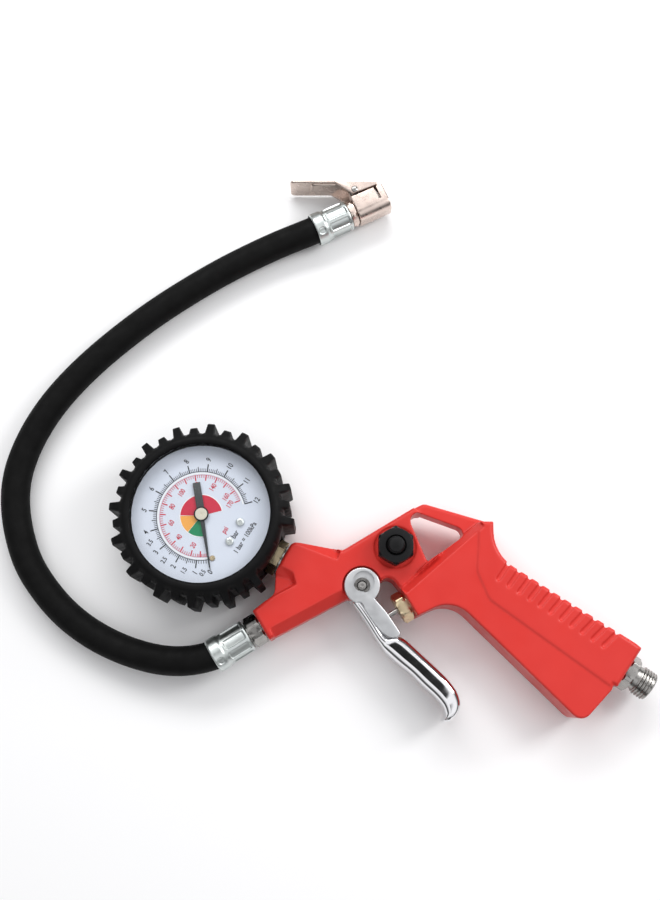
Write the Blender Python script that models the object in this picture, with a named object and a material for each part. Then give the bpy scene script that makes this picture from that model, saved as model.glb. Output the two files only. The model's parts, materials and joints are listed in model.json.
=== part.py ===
"""Tyre inflator with gauge: cast gun body with trigger valve and bleed valve, a 63 mm Bourdon tube
gauge in a lugged rubber boot, a 13 mm hose and a clip-on chuck with its lever.

It lies on its back on a surface at z = 0, with the dial facing up. Lengths are in millimetres and
become metres in finish(). X runs along the gun towards the air inlet, and the whole tool is held by
the empty row_frame, which puts the centre of the rigid part over the world's origin.
"""

import math

import bmesh
import bpy
from mathutils import Matrix, Vector

MM = 0.001
GAP = 0.3  # between pieces that touch on the real tool
ROUND = 32  # sides of a turned piece
ROW_SHIFT = (0.76, 0.02, 0.0)

# heights
MID = 13.0  # middle of the gun, and of everything screwed into it
HANDLE_HALF = 12.8
BARREL_HALF = 9.0
ARCH_HALF = 5.5
EDGE = 1.2  # chamfer of the casting's edges

# gun axes: a point, and the heading of the outward direction in degrees
OUTLET, OUTLET_HEADING = (-53.95, -23.4), 211.5
INLET, INLET_HEADING = (104.0, -42.0), -35.0
THREAD_PITCH, THREAD_TURNS = 1.337, 5
VALVE, VALVE_HEADING = (10.3, -13.6), 211.0
PIVOT = (-10.0, -6.3)
BLEED = (4.6, 10.5)
GAUGE, STEM_HEADING = (-79.8, 23.8), -27.5
LUG_REACH = 39.5  # gauge axis to the face of the gun's gauge lug

# valve and trigger
VALVE_BORE = 5.2
PIN_RADIUS = 1.2
PIN_REACH = 16.2  # boss face to the end of the pin
TRIGGER_HALF = 9.8
FORK_HALF = 6.5  # half the slot between the fork's ears
EAR_RADIUS = 7.9

# gauge
BOOT_RADIUS = 35.7
LONG_LUG, SHORT_LUG = 40.4, 38.6
WINDOW_RADIUS = 30.1
BOOT_TOP = 36.5
CASE_RADIUS = 32.0
STEM_Z = MID
DIAL_Z = 29.6
DIAL_RADIUS = 30.6
ZERO_HEADING = -79.8  # the pointer's heading at rest
GEAR_RATIO = 8
TEETH = 10  # of the pinion
PITCH_RADIUS = 1.8

# hose
HOSE_OD = 13.0
FERRULE_START = 7.0  # outlet face to the near ferrule
CHUCK, CHUCK_HEADING = (-15.2, 171.9), 25.4
CHUCK_Z = 8.5
LEVER_PIN = (6.9, 7.9)  # along and across the chuck's axis
LEVER_INNER, LEVER_SHEET = 185.4, 1.2


def heading(degrees):
    return Vector((math.cos(math.radians(degrees)), math.sin(math.radians(degrees)), 0))


def along(point, degrees, distance, sideways=0.0):
    """The point at a distance along a heading, and sideways to its left."""
    out = heading(degrees)
    return (
        point[0] + out.x * distance - out.y * sideways,
        point[1] + out.y * distance + out.x * sideways,
    )


def material(name, colour, roughness, metallic):
    made = bpy.data.materials.new(name)
    made.use_nodes = True
    made.diffuse_color = (*colour, 1)
    shader = made.node_tree.nodes["Principled BSDF"]
    shader.inputs["Base Color"].default_value = (*colour, 1)
    shader.inputs["Roughness"].default_value = roughness
    shader.inputs["Metallic"].default_value = metallic
    return made


RED = ((0.76, 0.06, 0.05), 0.38, 0.0)
BRASS = ((0.62, 0.48, 0.26), 0.3, 1.0)
STEEL = ((0.5, 0.49, 0.47), 0.3, 1.0)
CHROME = ((0.75, 0.75, 0.76), 0.08, 1.0)
ZINC = ((0.6, 0.63, 0.62), 0.35, 1.0)
NICKEL = ((0.62, 0.52, 0.46), 0.28, 1.0)
RUBBER = ((0.012, 0.012, 0.013), 0.6, 0.0)
PLASTIC = ((0.015, 0.015, 0.015), 0.35, 0.0)
NITRILE = ((0.02, 0.02, 0.02), 0.5, 0.0)
DIAL_WHITE = ((0.6, 0.65, 0.72), 0.4, 0.0)
GLASS = ((0.9, 0.95, 0.95), 0.05, 0.0)


def finish(name, mesh, look=None, place=(0, 0, 0), tilt=(0, 0, 0), angle=35):
    """Turns a bmesh in millimetres into an object in row_frame. Without a look it is a cutter."""
    bmesh.ops.recalc_face_normals(mesh, faces=mesh.faces)
    bmesh.ops.scale(mesh, vec=(MM, MM, MM), verts=mesh.verts)
    data = bpy.data.meshes.new(name)
    mesh.to_mesh(data)
    mesh.free()
    data.shade_smooth()
    data.set_sharp_from_angle(angle=math.radians(angle))
    obj = bpy.data.objects.new(name, data)
    bpy.context.scene.collection.objects.link(obj)
    obj.location = Vector(place) * MM
    obj.rotation_euler = tilt
    obj.parent = row_frame
    if look:
        data.materials.append(material(name, *look))
    else:
        obj.hide_render = True
        obj.display_type = "WIRE"
    return obj


def lying(degrees):
    """The rotation that lays a piece turned about its own Z along a heading."""
    return (0, math.pi / 2, math.radians(degrees))


def boolean(obj, other, operation):
    step = obj.modifiers.new(operation.lower(), "BOOLEAN")
    step.object = other
    step.operation = operation
    step.solver = "EXACT"


def cut(obj, *cutters):
    for cutter in cutters:
        boolean(obj, cutter, "DIFFERENCE")


def unite(obj, *others):
    for other in others:
        boolean(obj, other, "UNION")


def rounded(corners, steps=4):
    """An outline whose corners (x, y, radius) are arcs. A radius of zero keeps a corner sharp."""
    points = []
    for i, (x, y, radius) in enumerate(corners):
        here = Vector((x, y))
        back = (Vector(corners[i - 1][:2]) - here).normalized()
        on = (Vector(corners[(i + 1) % len(corners)][:2]) - here).normalized()
        if radius <= 0:
            points.append(here)
            continue
        half = back.angle(on) / 2
        centre = here + (back + on).normalized() * radius / math.sin(half)
        start = here + back * radius / math.tan(half) - centre
        sweep = start.angle_signed(here + on * radius / math.tan(half) - centre)
        for k in range(steps + 1):
            points.append(centre + Matrix.Rotation(-sweep * k / steps, 2) @ start)
    return points


def inset(points, distance):
    """The outline moved inwards. The points run anticlockwise."""
    moved = []
    for i, here in enumerate(points):
        before = (here - points[i - 1]).normalized()
        after = (points[(i + 1) % len(points)] - here).normalized()
        normal = Vector((-before.y - after.y, before.x + after.x)).normalized()
        lean = max(0.5, normal.dot(Vector((-after.y, after.x))))
        moved.append(here + normal * distance / lean)
    return moved


def loft(rings, closed=False, mesh=None):
    """A closed mesh through rings of equal length, with a face on each end or joined into a loop.
    It is added to the mesh, if there is one."""
    mesh = mesh or bmesh.new()
    rows = [[mesh.verts.new(p) for p in ring] for ring in rings]
    count = len(rows[0])
    pairs = list(zip(rows, rows[1:]))
    if closed:
        pairs.append((rows[-1], rows[0]))
    else:
        mesh.faces.new(rows[0])
        mesh.faces.new(rows[-1])
    for low, high in pairs:
        for k in range(count):
            mesh.faces.new((low[k - 1], low[k], high[k], high[k - 1]))
    return mesh


def slab(corners, low, high, chamfer=0.0, steps=4):
    """An outline extruded from low to high, with chamfered edges."""
    points = rounded(corners, steps)
    if sum(a.x * b.y - b.x * a.y for a, b in zip(points, points[1:] + points[:1])) < 0:
        points.reverse()
    levels = [(low, chamfer), (low + chamfer, 0), (high - chamfer, 0), (high, chamfer)]
    if not chamfer:
        levels = levels[1:3]
    rings = []
    for z, depth in levels:
        ring = inset(points, depth) if depth else points
        rings.append([(p.x, p.y, z) for p in ring])
    return loft(rings)


def turned(profile, sides=ROUND, flats=False, closed=False):
    """A solid turned about Z through (radius, height) points, closed into a tube if asked. With
    flats the rings are polygons, and the radius is the one to their flats."""
    grow = 1 / math.cos(math.pi / sides) if flats else 1
    turns = [2 * math.pi * (k + 0.5) / sides for k in range(sides)]
    rings = []
    for radius, height in profile:
        reach = radius * grow
        rings.append([(reach * math.cos(a), reach * math.sin(a), height) for a in turns])
    return loft(rings, closed)


def rod(radius, low, high, sides=ROUND, edge=0.0):
    if not edge:
        return turned([(radius, low), (radius, high)], sides)
    ends = [(radius - edge, low), (radius, low + edge), (radius, high - edge), (radius - edge, high)]
    return turned(ends, sides)


def ring_of(inner, outer, low, high, sides=ROUND):
    return turned([(inner, low), (outer, low), (outer, high), (inner, high)], sides, closed=True)


def hexagon(flats, low, high):
    """A hexagonal bar about Z, with flats facing up and down once it lies on its side."""
    return turned([(flats / 2, low), (flats / 2, high)], 6, flats=True)


def box(low, high):
    x0, y0, z0 = low
    x1, y1, z1 = high
    return loft([[(x0, y0, z), (x1, y0, z), (x1, y1, z), (x0, y1, z)] for z in (z0, z1)])


def tube_along(points, half_wide, half_high, sides=8):
    """An oval tube through flat points (x, y, z), with its ends closed."""
    rings = []
    for i, here in enumerate(points):
        run = Vector(points[min(i + 1, len(points) - 1)]) - Vector(points[max(i - 1, 0)])
        side = Vector((run.y, -run.x, 0)).normalized()
        ring = []
        for k in range(sides):
            a = 2 * math.pi * (k + 0.5) / sides
            up = Vector((0, 0, half_high * math.sin(a)))
            ring.append(Vector(here) + side * half_wide * math.cos(a) + up)
        rings.append(ring)
    return loft(rings)


def helix(name, look, radius, wire, low, high, turns, place, tilt, steps=10, legs=((), ())):
    """A coil spring about Z, as a curve with closed ends. Legs are points before and after it."""
    count = int(turns * steps)
    points = list(legs[0])
    for k in range(count + 1):
        a = 2 * math.pi * k / steps
        points.append((radius * math.cos(a), radius * math.sin(a), low + (high - low) * k / count))
    return wire_of(name, look, points + list(legs[1]), wire, place, tilt, 1)


def wire_of(name, look, points, radius, place, tilt, resolution):
    """A round wire or hose through points, as a curve object with a bevel and filled caps."""
    curve = bpy.data.curves.new(name, "CURVE")
    curve.dimensions = "3D"
    curve.bevel_depth = radius * MM
    curve.bevel_resolution = resolution
    curve.use_fill_caps = True
    spline = curve.splines.new("POLY")
    spline.points.add(len(points) - 1)
    for target, point in zip(spline.points, points):
        target.co = (*(Vector(point) * MM), 1)
    spline.use_smooth = True
    obj = bpy.data.objects.new(name, curve)
    bpy.context.scene.collection.objects.link(obj)
    obj.location = Vector(place) * MM
    obj.rotation_euler = tilt
    obj.parent = row_frame
    curve.materials.append(material(name, *look))
    return obj


# ---------------------------------------------------------------- gun body

BARREL = [
    (-50.2, -29.6, 0), (-16.5, -11.8, 0), (-7.0, -12.9, 3.6), (-3.2, -5.2, 3.3), (2.0, -1.6, 3.6),
    (7.0, -8.1, 0), (16.0, -8.0, 0), (24.0, 2.0, 0), (17.0, 14.0, 0), (16.5, 26.0, 0), (13.1, 28.3, 0),
    (-18.3, 9.4, 0), (-40.7, 13.3, 3.6), (-47.9, 0.0, 3.6), (-48.3, -9.6, 3.3), (-57.8, -17.1, 0),
]
HANDLE = [
    (13.9, -19.5, 0), (29.3, -12.2, 13), (82.6, -64.8, 5), (96.2, -50.6, 0), (98.0, -40.0, 0),
    (104.0, -29.4, 0), (47.6, 7.1, 18), (47.7, 21.6, 0), (41.5, 21.6, 0), (19.2, 4.6, 0),
    (7.0, -8.1, 0),
]
END_BLOCK = [(86.0, -42.0, 0), (98.3, -49.6, 0), (109.7, -33.3, 0), (107.3, -31.2, 0),
             (84.0, -16.4, 0)]
ARCH = [(9.0, 20.0, 0), (46.0, 12.0, 0), (47.2, 21.9, 0), (17.8, 30.6, 3.5), (12.6, 28.0, 0)]
HOLE = [(8.45, 28.8, 3.8), (18.6, 4.05, 0.8), (38.3, 17.9, 3.1)]
FRONT_PANEL = [(41.5, 30.0, 0), (41.0, 12.0, 0), (39.9, -0.2, 8), (45.0, -12.5, 6), (91.3, -46.2, 0),
               (99.0, -51.8, 0), (84.0, -80.0, 0), (0.0, -40.0, 0), (0.0, 30.0, 0)]
PANEL_STEP = 0.6  # the grip's front panel and the boss lie this much below its back panel
GRIP_SLOTS, SLOT_HALF, SLOT_DEPTH = 11, 1.1, 0.8
SLOT_INNER = (Vector((48.4, -4.6)), Vector((92.3, -33.0)))  # first and last slot
SLOT_OUTER = (Vector((53.8, 3.1)), Vector((99.5, -26.6)))
BARREL_SLOPE = ((-50.0, -24.6), (-14.5, -5.6))  # inner lines of the casting's wider slopes
BOSS_SLOPE = ((43.8, 19.2), (9.3, -10.5))
LUG_SLOPE = ((-21.0, 4.8), (-41.5, 12.8))
LUG = along(GAUGE, STEM_HEADING, LUG_REACH)
POCKET_FLOOR = [(-52.0, -0.6), (-41.0, -3.7), (-39.8, -5.3), (-52.0, -12.6)]
POCKET_RIM = [(-52.0, 6.0), (-40.2, 0.0), (-38.5, -5.7), (-52.0, -12.6)]


def bore(radius, point, degrees, start, end, sides=16):
    """A cutter along a heading, at the gun's mid height."""
    return finish("bore", rod(radius, start, end, sides), None, (*point, MID), lying(degrees))


def cut_slopes(body, inner, width, height, half):
    """Takes both long edges off the body, outwards from a line on its upper and its lower face."""
    start, end = Vector(inner[0]), Vector(inner[1])
    run = (end - start).normalized()
    out = Vector((run.y, -run.x))
    steps = [(-0.3 * width, 0.3 * height), (1.3 * width, -1.3 * height), (1.3 * width, 0.3 * height)]
    for side in (1, -1):
        rings = []
        for end_point in (start, end):
            ring = []
            for reach, rise in steps:
                spot = end_point + out * reach
                ring.append((spot.x, spot.y, MID + side * (half + rise)))
            rings.append(ring)
        cut(body, finish("slope_cutter", loft(rings)))


def slot_cutter(half, from_edge, low, high):
    """One cutter with a bar for each grip slot, which starts at a rounded inner end. The bars can
    start at a distance inside the grip's back edge instead."""
    mesh = bmesh.new()
    for k in range(GRIP_SLOTS):
        inner = SLOT_INNER[0].lerp(SLOT_INNER[1], k / (GRIP_SLOTS - 1))
        outer = SLOT_OUTER[0].lerp(SLOT_OUTER[1], k / (GRIP_SLOTS - 1))
        run = (outer - inner).normalized()
        start = outer - run * from_edge if from_edge else inner + run * half
        left = Vector((-run.y, run.x)) * half
        points = [outer + run * 4 + left, start + left, start - run * half * 0.7 + left * 0.7,
                  start - run * half, start - run * half * 0.7 - left * 0.7, start - left,
                  outer + run * 4 - left]
        loft([[(p.x, p.y, z) for p in points] for z in (low, high)], mesh=mesh)
    return finish("slot_cutter", mesh)


def cut_casting_details(body):
    cut_slopes(body, BARREL_SLOPE, 4.4, 4.4, BARREL_HALF)
    cut_slopes(body, BOSS_SLOPE, 3.2, 4.0, HANDLE_HALF)
    cut_slopes(body, LUG_SLOPE, 3.4, 2.6, BARREL_HALF)
    top, bottom = MID + HANDLE_HALF, MID - HANDLE_HALF
    for low, high in ((top - PANEL_STEP, top + 3), (bottom - 3, bottom + PANEL_STEP)):
        cut(body, finish("panel_cutter", slab(FRONT_PANEL, low, high)))
    cut(body, slot_cutter(SLOT_HALF, 0, top - SLOT_DEPTH, top + 3))
    cut(body, slot_cutter(SLOT_HALF, 0, bottom - 3, bottom + SLOT_DEPTH))
    cut(body, slot_cutter(0.9 * SLOT_HALF, 0.2, bottom - 3, top + 3))
    for side in (1, -1):
        surface, floor, above = (MID + side * z for z in (BARREL_HALF, BARREL_HALF - 3, BARREL_HALF + 3))
        rings = [[(*p, floor) for p in POCKET_FLOOR], [(*p, surface) for p in POCKET_RIM],
                 [(*p, above) for p in POCKET_RIM]]
        cut(body, finish("pocket_cutter", loft(rings)))


def build_gun_body():
    body = finish("gun_body", slab(BARREL, MID - BARREL_HALF, MID + BARREL_HALF, EDGE), RED)
    handle = slab(HANDLE, MID - HANDLE_HALF, MID + HANDLE_HALF, EDGE, 6)
    end = slab(END_BLOCK, MID - HANDLE_HALF, MID + HANDLE_HALF, EDGE)
    arch = slab(ARCH, MID - ARCH_HALF, MID + ARCH_HALF, EDGE)
    unite(body, finish("handle_solid", handle), finish("end_solid", end), finish("arch_solid", arch))
    cut_casting_details(body)
    cut(body, finish("hole_cutter", slab(HOLE, -2, 30)))
    for low, high in ((MID + FORK_HALF - 0.4, 30), (-4, MID - FORK_HALF + 0.4)):
        cut(body, finish("ear_recess", rod(EAR_RADIUS + 0.7, low, high), None, (*PIVOT, 0)))
    cut(body, finish("pivot_hole", rod(2.3, -4, 30, 16), None, (*PIVOT, 0)))
    cut(body, finish("bleed_bore", rod(5.2, 8.0, 30, 24), None, (*BLEED, 0)))
    cut(body, finish("bleed_recess", rod(9.4, MID + BARREL_HALF - 0.8, 30), None, (*BLEED, 0)))
    to_bleed = math.dist(OUTLET, BLEED)
    cut(body, bore(3.0, OUTLET, OUTLET_HEADING, -to_bleed, 4), bore(5.2, OUTLET, OUTLET_HEADING, -9, 4))
    cut(body, bore(2.4, LUG, STEM_HEADING, -4, 23), bore(5.0, LUG, STEM_HEADING, -4, 9.5))
    cut(body, bore(VALVE_BORE, VALVE, VALVE_HEADING, -34, 4, 24))
    cut(body, bore(3.6, INLET, INLET_HEADING, -80, 4), bore(6.2, INLET, INLET_HEADING, -12.5, 4, 24))
    chamber = along(VALVE, VALVE_HEADING, -9)
    across = math.degrees(math.atan2(chamber[1] - BLEED[1], chamber[0] - BLEED[0]))
    cut(body, bore(1.6, BLEED, across, 0, math.dist(BLEED, chamber), 8))
    return body


# ---------------------------------------------------------------- air inlet

def build_inlet():
    place, tilt = (*INLET, MID), lying(INLET_HEADING)
    thread = [(5.7, -11.0), (5.7, 4.2), (5.7, 7.2)]
    for turn in range(THREAD_TURNS):
        start = 7.2 + turn * THREAD_PITCH
        thread += [(6.58, start + 0.35), (6.58, start + 0.75), (5.9, start + 1.2)]
    nipple = finish("inlet_nipple", turned(thread, 24), STEEL, place, tilt)
    unite(nipple, finish("inlet_hex", hexagon(14.0, GAP, 4.0), None, place, tilt))
    cut(nipple, finish("inlet_bore", rod(4.3, -12, 20, 16), None, place, tilt))
    finish("inlet_filter", rod(4.0, -10.2, -9.0, 16), BRASS, place, tilt)


# ---------------------------------------------------------------- trigger valve

def build_valve():
    place, tilt = (*VALVE, MID), lying(VALVE_HEADING)
    nut = finish("valve_nut", rod(4.9, -8.0, 0.6, 24), BRASS, place, tilt)
    unite(nut, finish("nut_hex", hexagon(12.4, GAP, 5.3), None, place, tilt))
    cut(nut, finish("nut_bore", rod(1.7, -9, 6, 12), None, place, tilt))
    stem = [(1.0, PIN_REACH), (PIN_RADIUS, PIN_REACH - 0.4), (PIN_RADIUS, -17.6), (4.0, -17.6),
            (4.0, -19.2), (1.5, -19.2), (1.5, -24.0)]
    finish("valve_stem", turned(stem, 16), STEEL, place, tilt)
    finish("stem_o_ring", ring_of(1.5, 4.6, -10.4, -8.6, 20), NITRILE, place, tilt)
    finish("valve_seat", ring_of(2.3, 4.9, -14.0, -11.0, 20), BRASS, place, tilt)
    finish("valve_seal", ring_of(1.5, 3.8, -17.3, -14.3, 20), NITRILE, place, tilt)
    helix("valve_spring", STEEL, 3.0, 0.4, -33.2, -20.0, 6, place, tilt)


def build_bleed_valve():
    place = (*BLEED, 0)
    bonnet = finish("bleed_bonnet", rod(4.9, 14.0, 24.0, 24), PLASTIC, place)
    unite(bonnet, finish("bonnet_hex", hexagon(15.0, MID + BARREL_HALF - 0.8 + GAP, 30.0), None, place))
    cut(bonnet, finish("bonnet_bore", rod(1.8, 12, 31, 12), None, place))
    cut(bonnet, finish("bonnet_pocket", rod(4.2, 20.0, 31, 24), None, place))
    button = [(2.2, 10.3), (2.2, 11.2), (1.3, 11.2), (1.3, 27.0), (3.8, 27.0), (3.8, 30.6),
              (3.0, 31.6), (1.4, 32.1)]
    finish("bleed_button", turned(button, 24), PLASTIC, place)
    finish("bleed_seal", ring_of(1.6, 3.8, 11.5, 13.7, 20), NITRILE, place)
    helix("bleed_spring", STEEL, 2.7, 0.3, 20.4, 26.5, 4, place, (0, 0, 0))


# ---------------------------------------------------------------- trigger

TRIGGER_RIGHT = [(26.0, -64.2), (28.8, -63.8), (31.4, -60.6), (32.0, -57.0), (30.4, -52.0),
                 (24.0, -42.8), (11.6, -31.6), (7.4, -28.2), (4.0, -22.8)]
TRIGGER_LEFT = [(-0.3, -33.6), (1.6, -36.0), (15.2, -48.0), (22.1, -54.6), (24.8, -58.4), (25.4, -61.4)]
FORK_SLOT = [(-6.4, -18.5), (3.5, -33.2), (5.0, -35.0), (8.0, -34.0), (14.0, -20.0), (-2.0, -8.0),
             (-4.6, -8.0)]  # it leaves a web at the front, which pushes the valve stem


def ear_outline(first, last, steps=20):
    """The arc of the trigger's ear about the pivot, anticlockwise between two headings."""
    points = []
    for k in range(steps + 1):
        out = heading(first + (last - first) * k / steps) * EAR_RADIUS
        points.append((PIVOT[0] + out.x, PIVOT[1] + out.y))
    return points


def build_trigger():
    outline = TRIGGER_RIGHT + ear_outline(-38, 236) + TRIGGER_LEFT
    corners = [(x - PIVOT[0], y - PIVOT[1], 0) for x, y in outline]
    place = (*PIVOT, 0)
    trigger = finish("trigger", slab(corners, MID - TRIGGER_HALF, MID + TRIGGER_HALF, 1.0), CHROME, place)
    slot = [(x - PIVOT[0], y - PIVOT[1], 0) for x, y in FORK_SLOT]
    low, high = MID - FORK_HALF, MID + FORK_HALF
    cut(trigger, finish("fork_slot", slab(slot, low, high), None, place))
    cut(trigger, finish("fork_clearance", rod(EAR_RADIUS + 1.0, low, high), None, place))
    cut(trigger, finish("ear_hole", rod(2.3, -4, 30, 16), None, place))
    for low, high in ((21.4, 30), (-4, 4.6)):
        cut(trigger, finish("ear_dish", rod(4.8, low, high, 24), None, place))
    pin = [(3.8, 3.4), (3.8, 4.3), (2.0, 4.3), (2.0, 22.5)]
    finish("trigger_pin", turned(pin, 20), STEEL, place)
    finish("trigger_clip", ring_of(2.3, 3.9, 21.7, 22.3, 20), STEEL, place)


# ---------------------------------------------------------------- hose and its ends

ROUTE = [
    (-73.6, -35.4, 13.0), (-79.6, -37.3, 12.8), (-86.4, -38.4, 12.1), (-94.6, -38.4, 10.7),
    (-103.6, -36.9, 9.1), (-112.7, -34.3, 7.8), (-121.8, -30.6, 6.9), (-131.0, -25.7, 6.6),
    (-140.1, -19.1, 6.6), (-148.2, -11.2, 6.6), (-155.3, -2.2, 6.6), (-160.9, 7.0, 6.6),
    (-166.4, 24.9, 6.6), (-167.4, 43.3, 6.6), (-161.9, 62.1, 6.6), (-150.9, 81.1, 6.6),
    (-133.6, 100.5, 6.6), (-110.8, 120.1, 6.6), (-90.4, 134.5, 6.6), (-71.6, 146.0, 6.6),
    (-52.7, 155.7, 6.9), (-42.0, 160.2, 7.6), (-30.0, 164.9, 8.5),
]
FERRULE = [
    (4.0, 0.0), (6.6, 0.0), (7.1, 0.6), (7.1, 11.0), (7.8, 12.6), (7.8, 18.0), (7.3, 18.0),
    (7.3, 13.8), (4.0, 13.8),
]


def smooth_route(points, spacing):
    """Points about a spacing apart along a Catmull-Rom curve through the route."""
    route = [Vector(p) for p in points]
    route = [2 * route[0] - route[1]] + route + [2 * route[-1] - route[-2]]
    made = [route[1]]
    for a, b, c, d in zip(route, route[1:], route[2:], route[3:]):
        count = max(1, round((c - b).length / spacing))
        for k in range(1, count + 1):
            t = k / count
            made.append(0.5 * (2 * b + (c - a) * t + (2 * a - 5 * b + 4 * c - d) * t * t
                               + (3 * b - a - 3 * c + d) * t ** 3))
    return made


def build_hose():
    place, tilt = (*OUTLET, MID), lying(OUTLET_HEADING)
    nipple = finish("hose_nipple", rod(4.9, -8.0, 1.0, 24), STEEL, place, tilt)
    unite(nipple, finish("nipple_hex", hexagon(12.6, GAP, 6.6), None, place, tilt))
    unite(nipple, finish("nipple_barb", rod(3.6, 6.0, 22.0, 20), None, place, tilt))
    cut(nipple, finish("nipple_bore", rod(2.4, -9, 23, 12), None, place, tilt))
    start = along(OUTLET, OUTLET_HEADING, FERRULE_START)
    finish("gun_ferrule", turned(FERRULE, 24, closed=True), ZINC, (*start, MID), tilt)
    wire_of("hose", RUBBER, smooth_route(ROUTE, HOSE_OD * 1.1), HOSE_OD / 2, (0, 0, 0), (0, 0, 0), 4)
    place = (*CHUCK, CHUCK_Z)
    finish("chuck_ferrule", turned(FERRULE, 24, closed=True), ZINC, place, lying(CHUCK_HEADING + 180))


# ---------------------------------------------------------------- chuck

def chuck_point(distance, sideways):
    return along(CHUCK, CHUCK_HEADING, distance, sideways)


def build_chuck():
    place, tilt = (*CHUCK, CHUCK_Z), lying(CHUCK_HEADING)
    tail = finish("chuck_tail", rod(3.6, -15.0, 1.0, 20), NICKEL, place, tilt)
    unite(tail, finish("tail_hex", hexagon(12.0, GAP, 3.3), None, place, tilt))
    unite(tail, finish("tail_shank", rod(4.3, 3.0, 9.0, 20), None, place, tilt))
    cut(tail, finish("tail_bore", rod(2.2, -16, 10, 12), None, place, tilt))

    section = [(6.8, 5.8, 1.0), (-6.8, 5.8, 1.0), (-6.8, -6.5, 6.4), (6.8, -6.5, 6.4)]
    body = finish("chuck_body", slab(section, 3.6, 20.0, 0.4, 6), NICKEL, place, tilt)
    pin_u, pin_v = LEVER_PIN
    ear = [(3.0, pin_v + 2.2, 1.2), (-3.0, pin_v + 2.2, 1.2), (-3.0, 4.0, 0), (3.0, 4.0, 0)]
    unite(body, finish("pin_lug", slab(ear, pin_u - 2.4, pin_u + 2.4), None, place, tilt))
    cut(body, finish("tail_socket", rod(4.7, 3.0, 9.4, 20), None, place, tilt))
    cut(body, finish("air_way", rod(2.5, 3.0, 19, 12), None, place, tilt))
    cut(body, finish("valve_mouth", rod(4.3, 12.0, 21, 20), None, place, tilt))
    cut(body, finish("jaw_slit", box((-9, -1.0, 15.6), (9, 8, 16.9)), None, place, tilt))
    pin_place = (*chuck_point(pin_u, pin_v), 0)
    cut(body, finish("lug_hole", rod(1.3, -3, 20, 12), None, pin_place))

    finish("chuck_seal", ring_of(1.7, 4.0, 12.3, 14.8, 20), NITRILE, place, tilt)
    depressor = finish("chuck_depressor", rod(2.2, 9.8, 10.8, 12), BRASS, place, tilt)
    unite(depressor, finish("depressor_pin", rod(0.8, 10.0, 16.0, 8), None, place, tilt))
    jaw = [(-6.0, 5.5, 0.5), (-6.0, -0.7, 0)]
    for k in range(9):
        a = math.pi * (1 - k / 8)
        jaw.append((3.7 * math.cos(a), 3.7 * math.sin(a) - 0.7, 0))
    jaw += [(6.0, -0.7, 0), (6.0, 5.5, 0.5)]
    finish("chuck_jaw", slab(jaw, 15.95, 16.55), STEEL, place, tilt)

    pin = [(1.5, 0.2), (1.5, 0.75), (0.95, 0.75), (0.95, 16.3), (1.5, 16.3), (1.5, 16.9)]
    finish("chuck_pin", turned(pin, 12), NICKEL, pin_place)
    legs = (((1.75, -0.9, 12.2),), ((0.9, 2.6, 14.0), (0.9, 8.6, 13.2)))
    helix("chuck_spring", STEEL, 1.75, 0.35, 12.2, 14.2, 2.25, pin_place, (0, 0, 0), 12, legs)
    build_lever(pin_place)


def build_lever(pin_place):
    """The clip lever: a pressed channel whose arm lies over the ferrule, turned about its pin."""
    x, y = pin_place[:2]
    low, high = 1.0, 16.0
    inner, outer = LEVER_INNER - y, LEVER_INNER + LEVER_SHEET - y
    arm = box((-43.0 - x, inner, low), (-1.6 - x, outer, high))
    lever = finish("chuck_lever", arm, NICKEL, pin_place)
    cheek = [(-24.0 - x, inner + 0.3, 0), (-14.4 - x, 179.9 - y, 1.5), (-1.8 - x, inner - 0.2, 0),
             (-1.8 - x, inner + 0.3, 0)]
    unite(lever, finish("near_cheek", slab(cheek, high - 1.1, high), None, pin_place))
    unite(lever, finish("far_cheek", slab(cheek, low, low + 1.1), None, pin_place))
    cut(lever, finish("cheek_holes", rod(1.25, -2, 20, 12), None, pin_place))
    cut(lever, finish("leg_slot", box((-1.0, 2.0, 12.2), (2.8, 8.0, 14.4)), None, pin_place))


# ---------------------------------------------------------------- gauge

LUGS = 32
BOOT_PROFILE = [
    (22.0, 0.0), (34.3, 0.0), (None, 3.0), (None, 30.0), (34.4, 35.2), (32.6, BOOT_TOP),
    (WINDOW_RADIUS, 35.9), (33.2, 35.2), (33.2, 1.9), (22.0, 1.9),
]


def build_boot(place, tilt):
    """The tread's lugs stand on the groove radius, long and short in turn, with none beside the stem."""
    stations = []
    for lug in range(LUGS):
        middle = 360 * lug / LUGS
        reach = SHORT_LUG if lug % 2 else LONG_LUG
        if lug in (0, 1, LUGS - 1):
            reach = BOOT_RADIUS
        stations += [(middle - 4.0, BOOT_RADIUS), (middle - 2.3, reach), (middle + 2.3, reach),
                     (middle + 4.0, BOOT_RADIUS)]
    rings = []
    for degrees, reach in stations:
        out = heading(degrees)
        ring = []
        for radius, z in BOOT_PROFILE:
            r = reach if radius is None else radius
            ring.append((out.x * r, out.y * r, z))
        rings.append(ring)
    boot = finish("gauge_boot", loft(rings, closed=True), RUBBER, place, tilt)
    cut(boot, finish("stem_cut_out", box((31.5, -8.6, 3.5), (45.0, 8.6, 24.5)), None, place, tilt))


def build_gauge_housing(place, tilt):
    build_boot(place, tilt)
    case = turned([(CASE_RADIUS, 2.3), (CASE_RADIUS, 32.2), (31.2, 32.2), (31.2, 3.3)], 40)
    case = finish("gauge_case", case, STEEL, place, tilt)
    cut(case, finish("case_hole", rod(6.4, 20, 40, 20), None, (*GAUGE, STEM_Z), lying(STEM_HEADING)))
    bezel = [(30.4, 34.3), (32.3, 34.3), (32.3, 30.5), (32.9, 30.5), (32.9, 34.9), (30.4, 34.9)]
    finish("gauge_bezel", turned(bezel, 40, closed=True), STEEL, place, tilt)
    finish("gauge_lens", rod(31.4, 32.6, 34.0, 40), GLASS, place, tilt)


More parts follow.
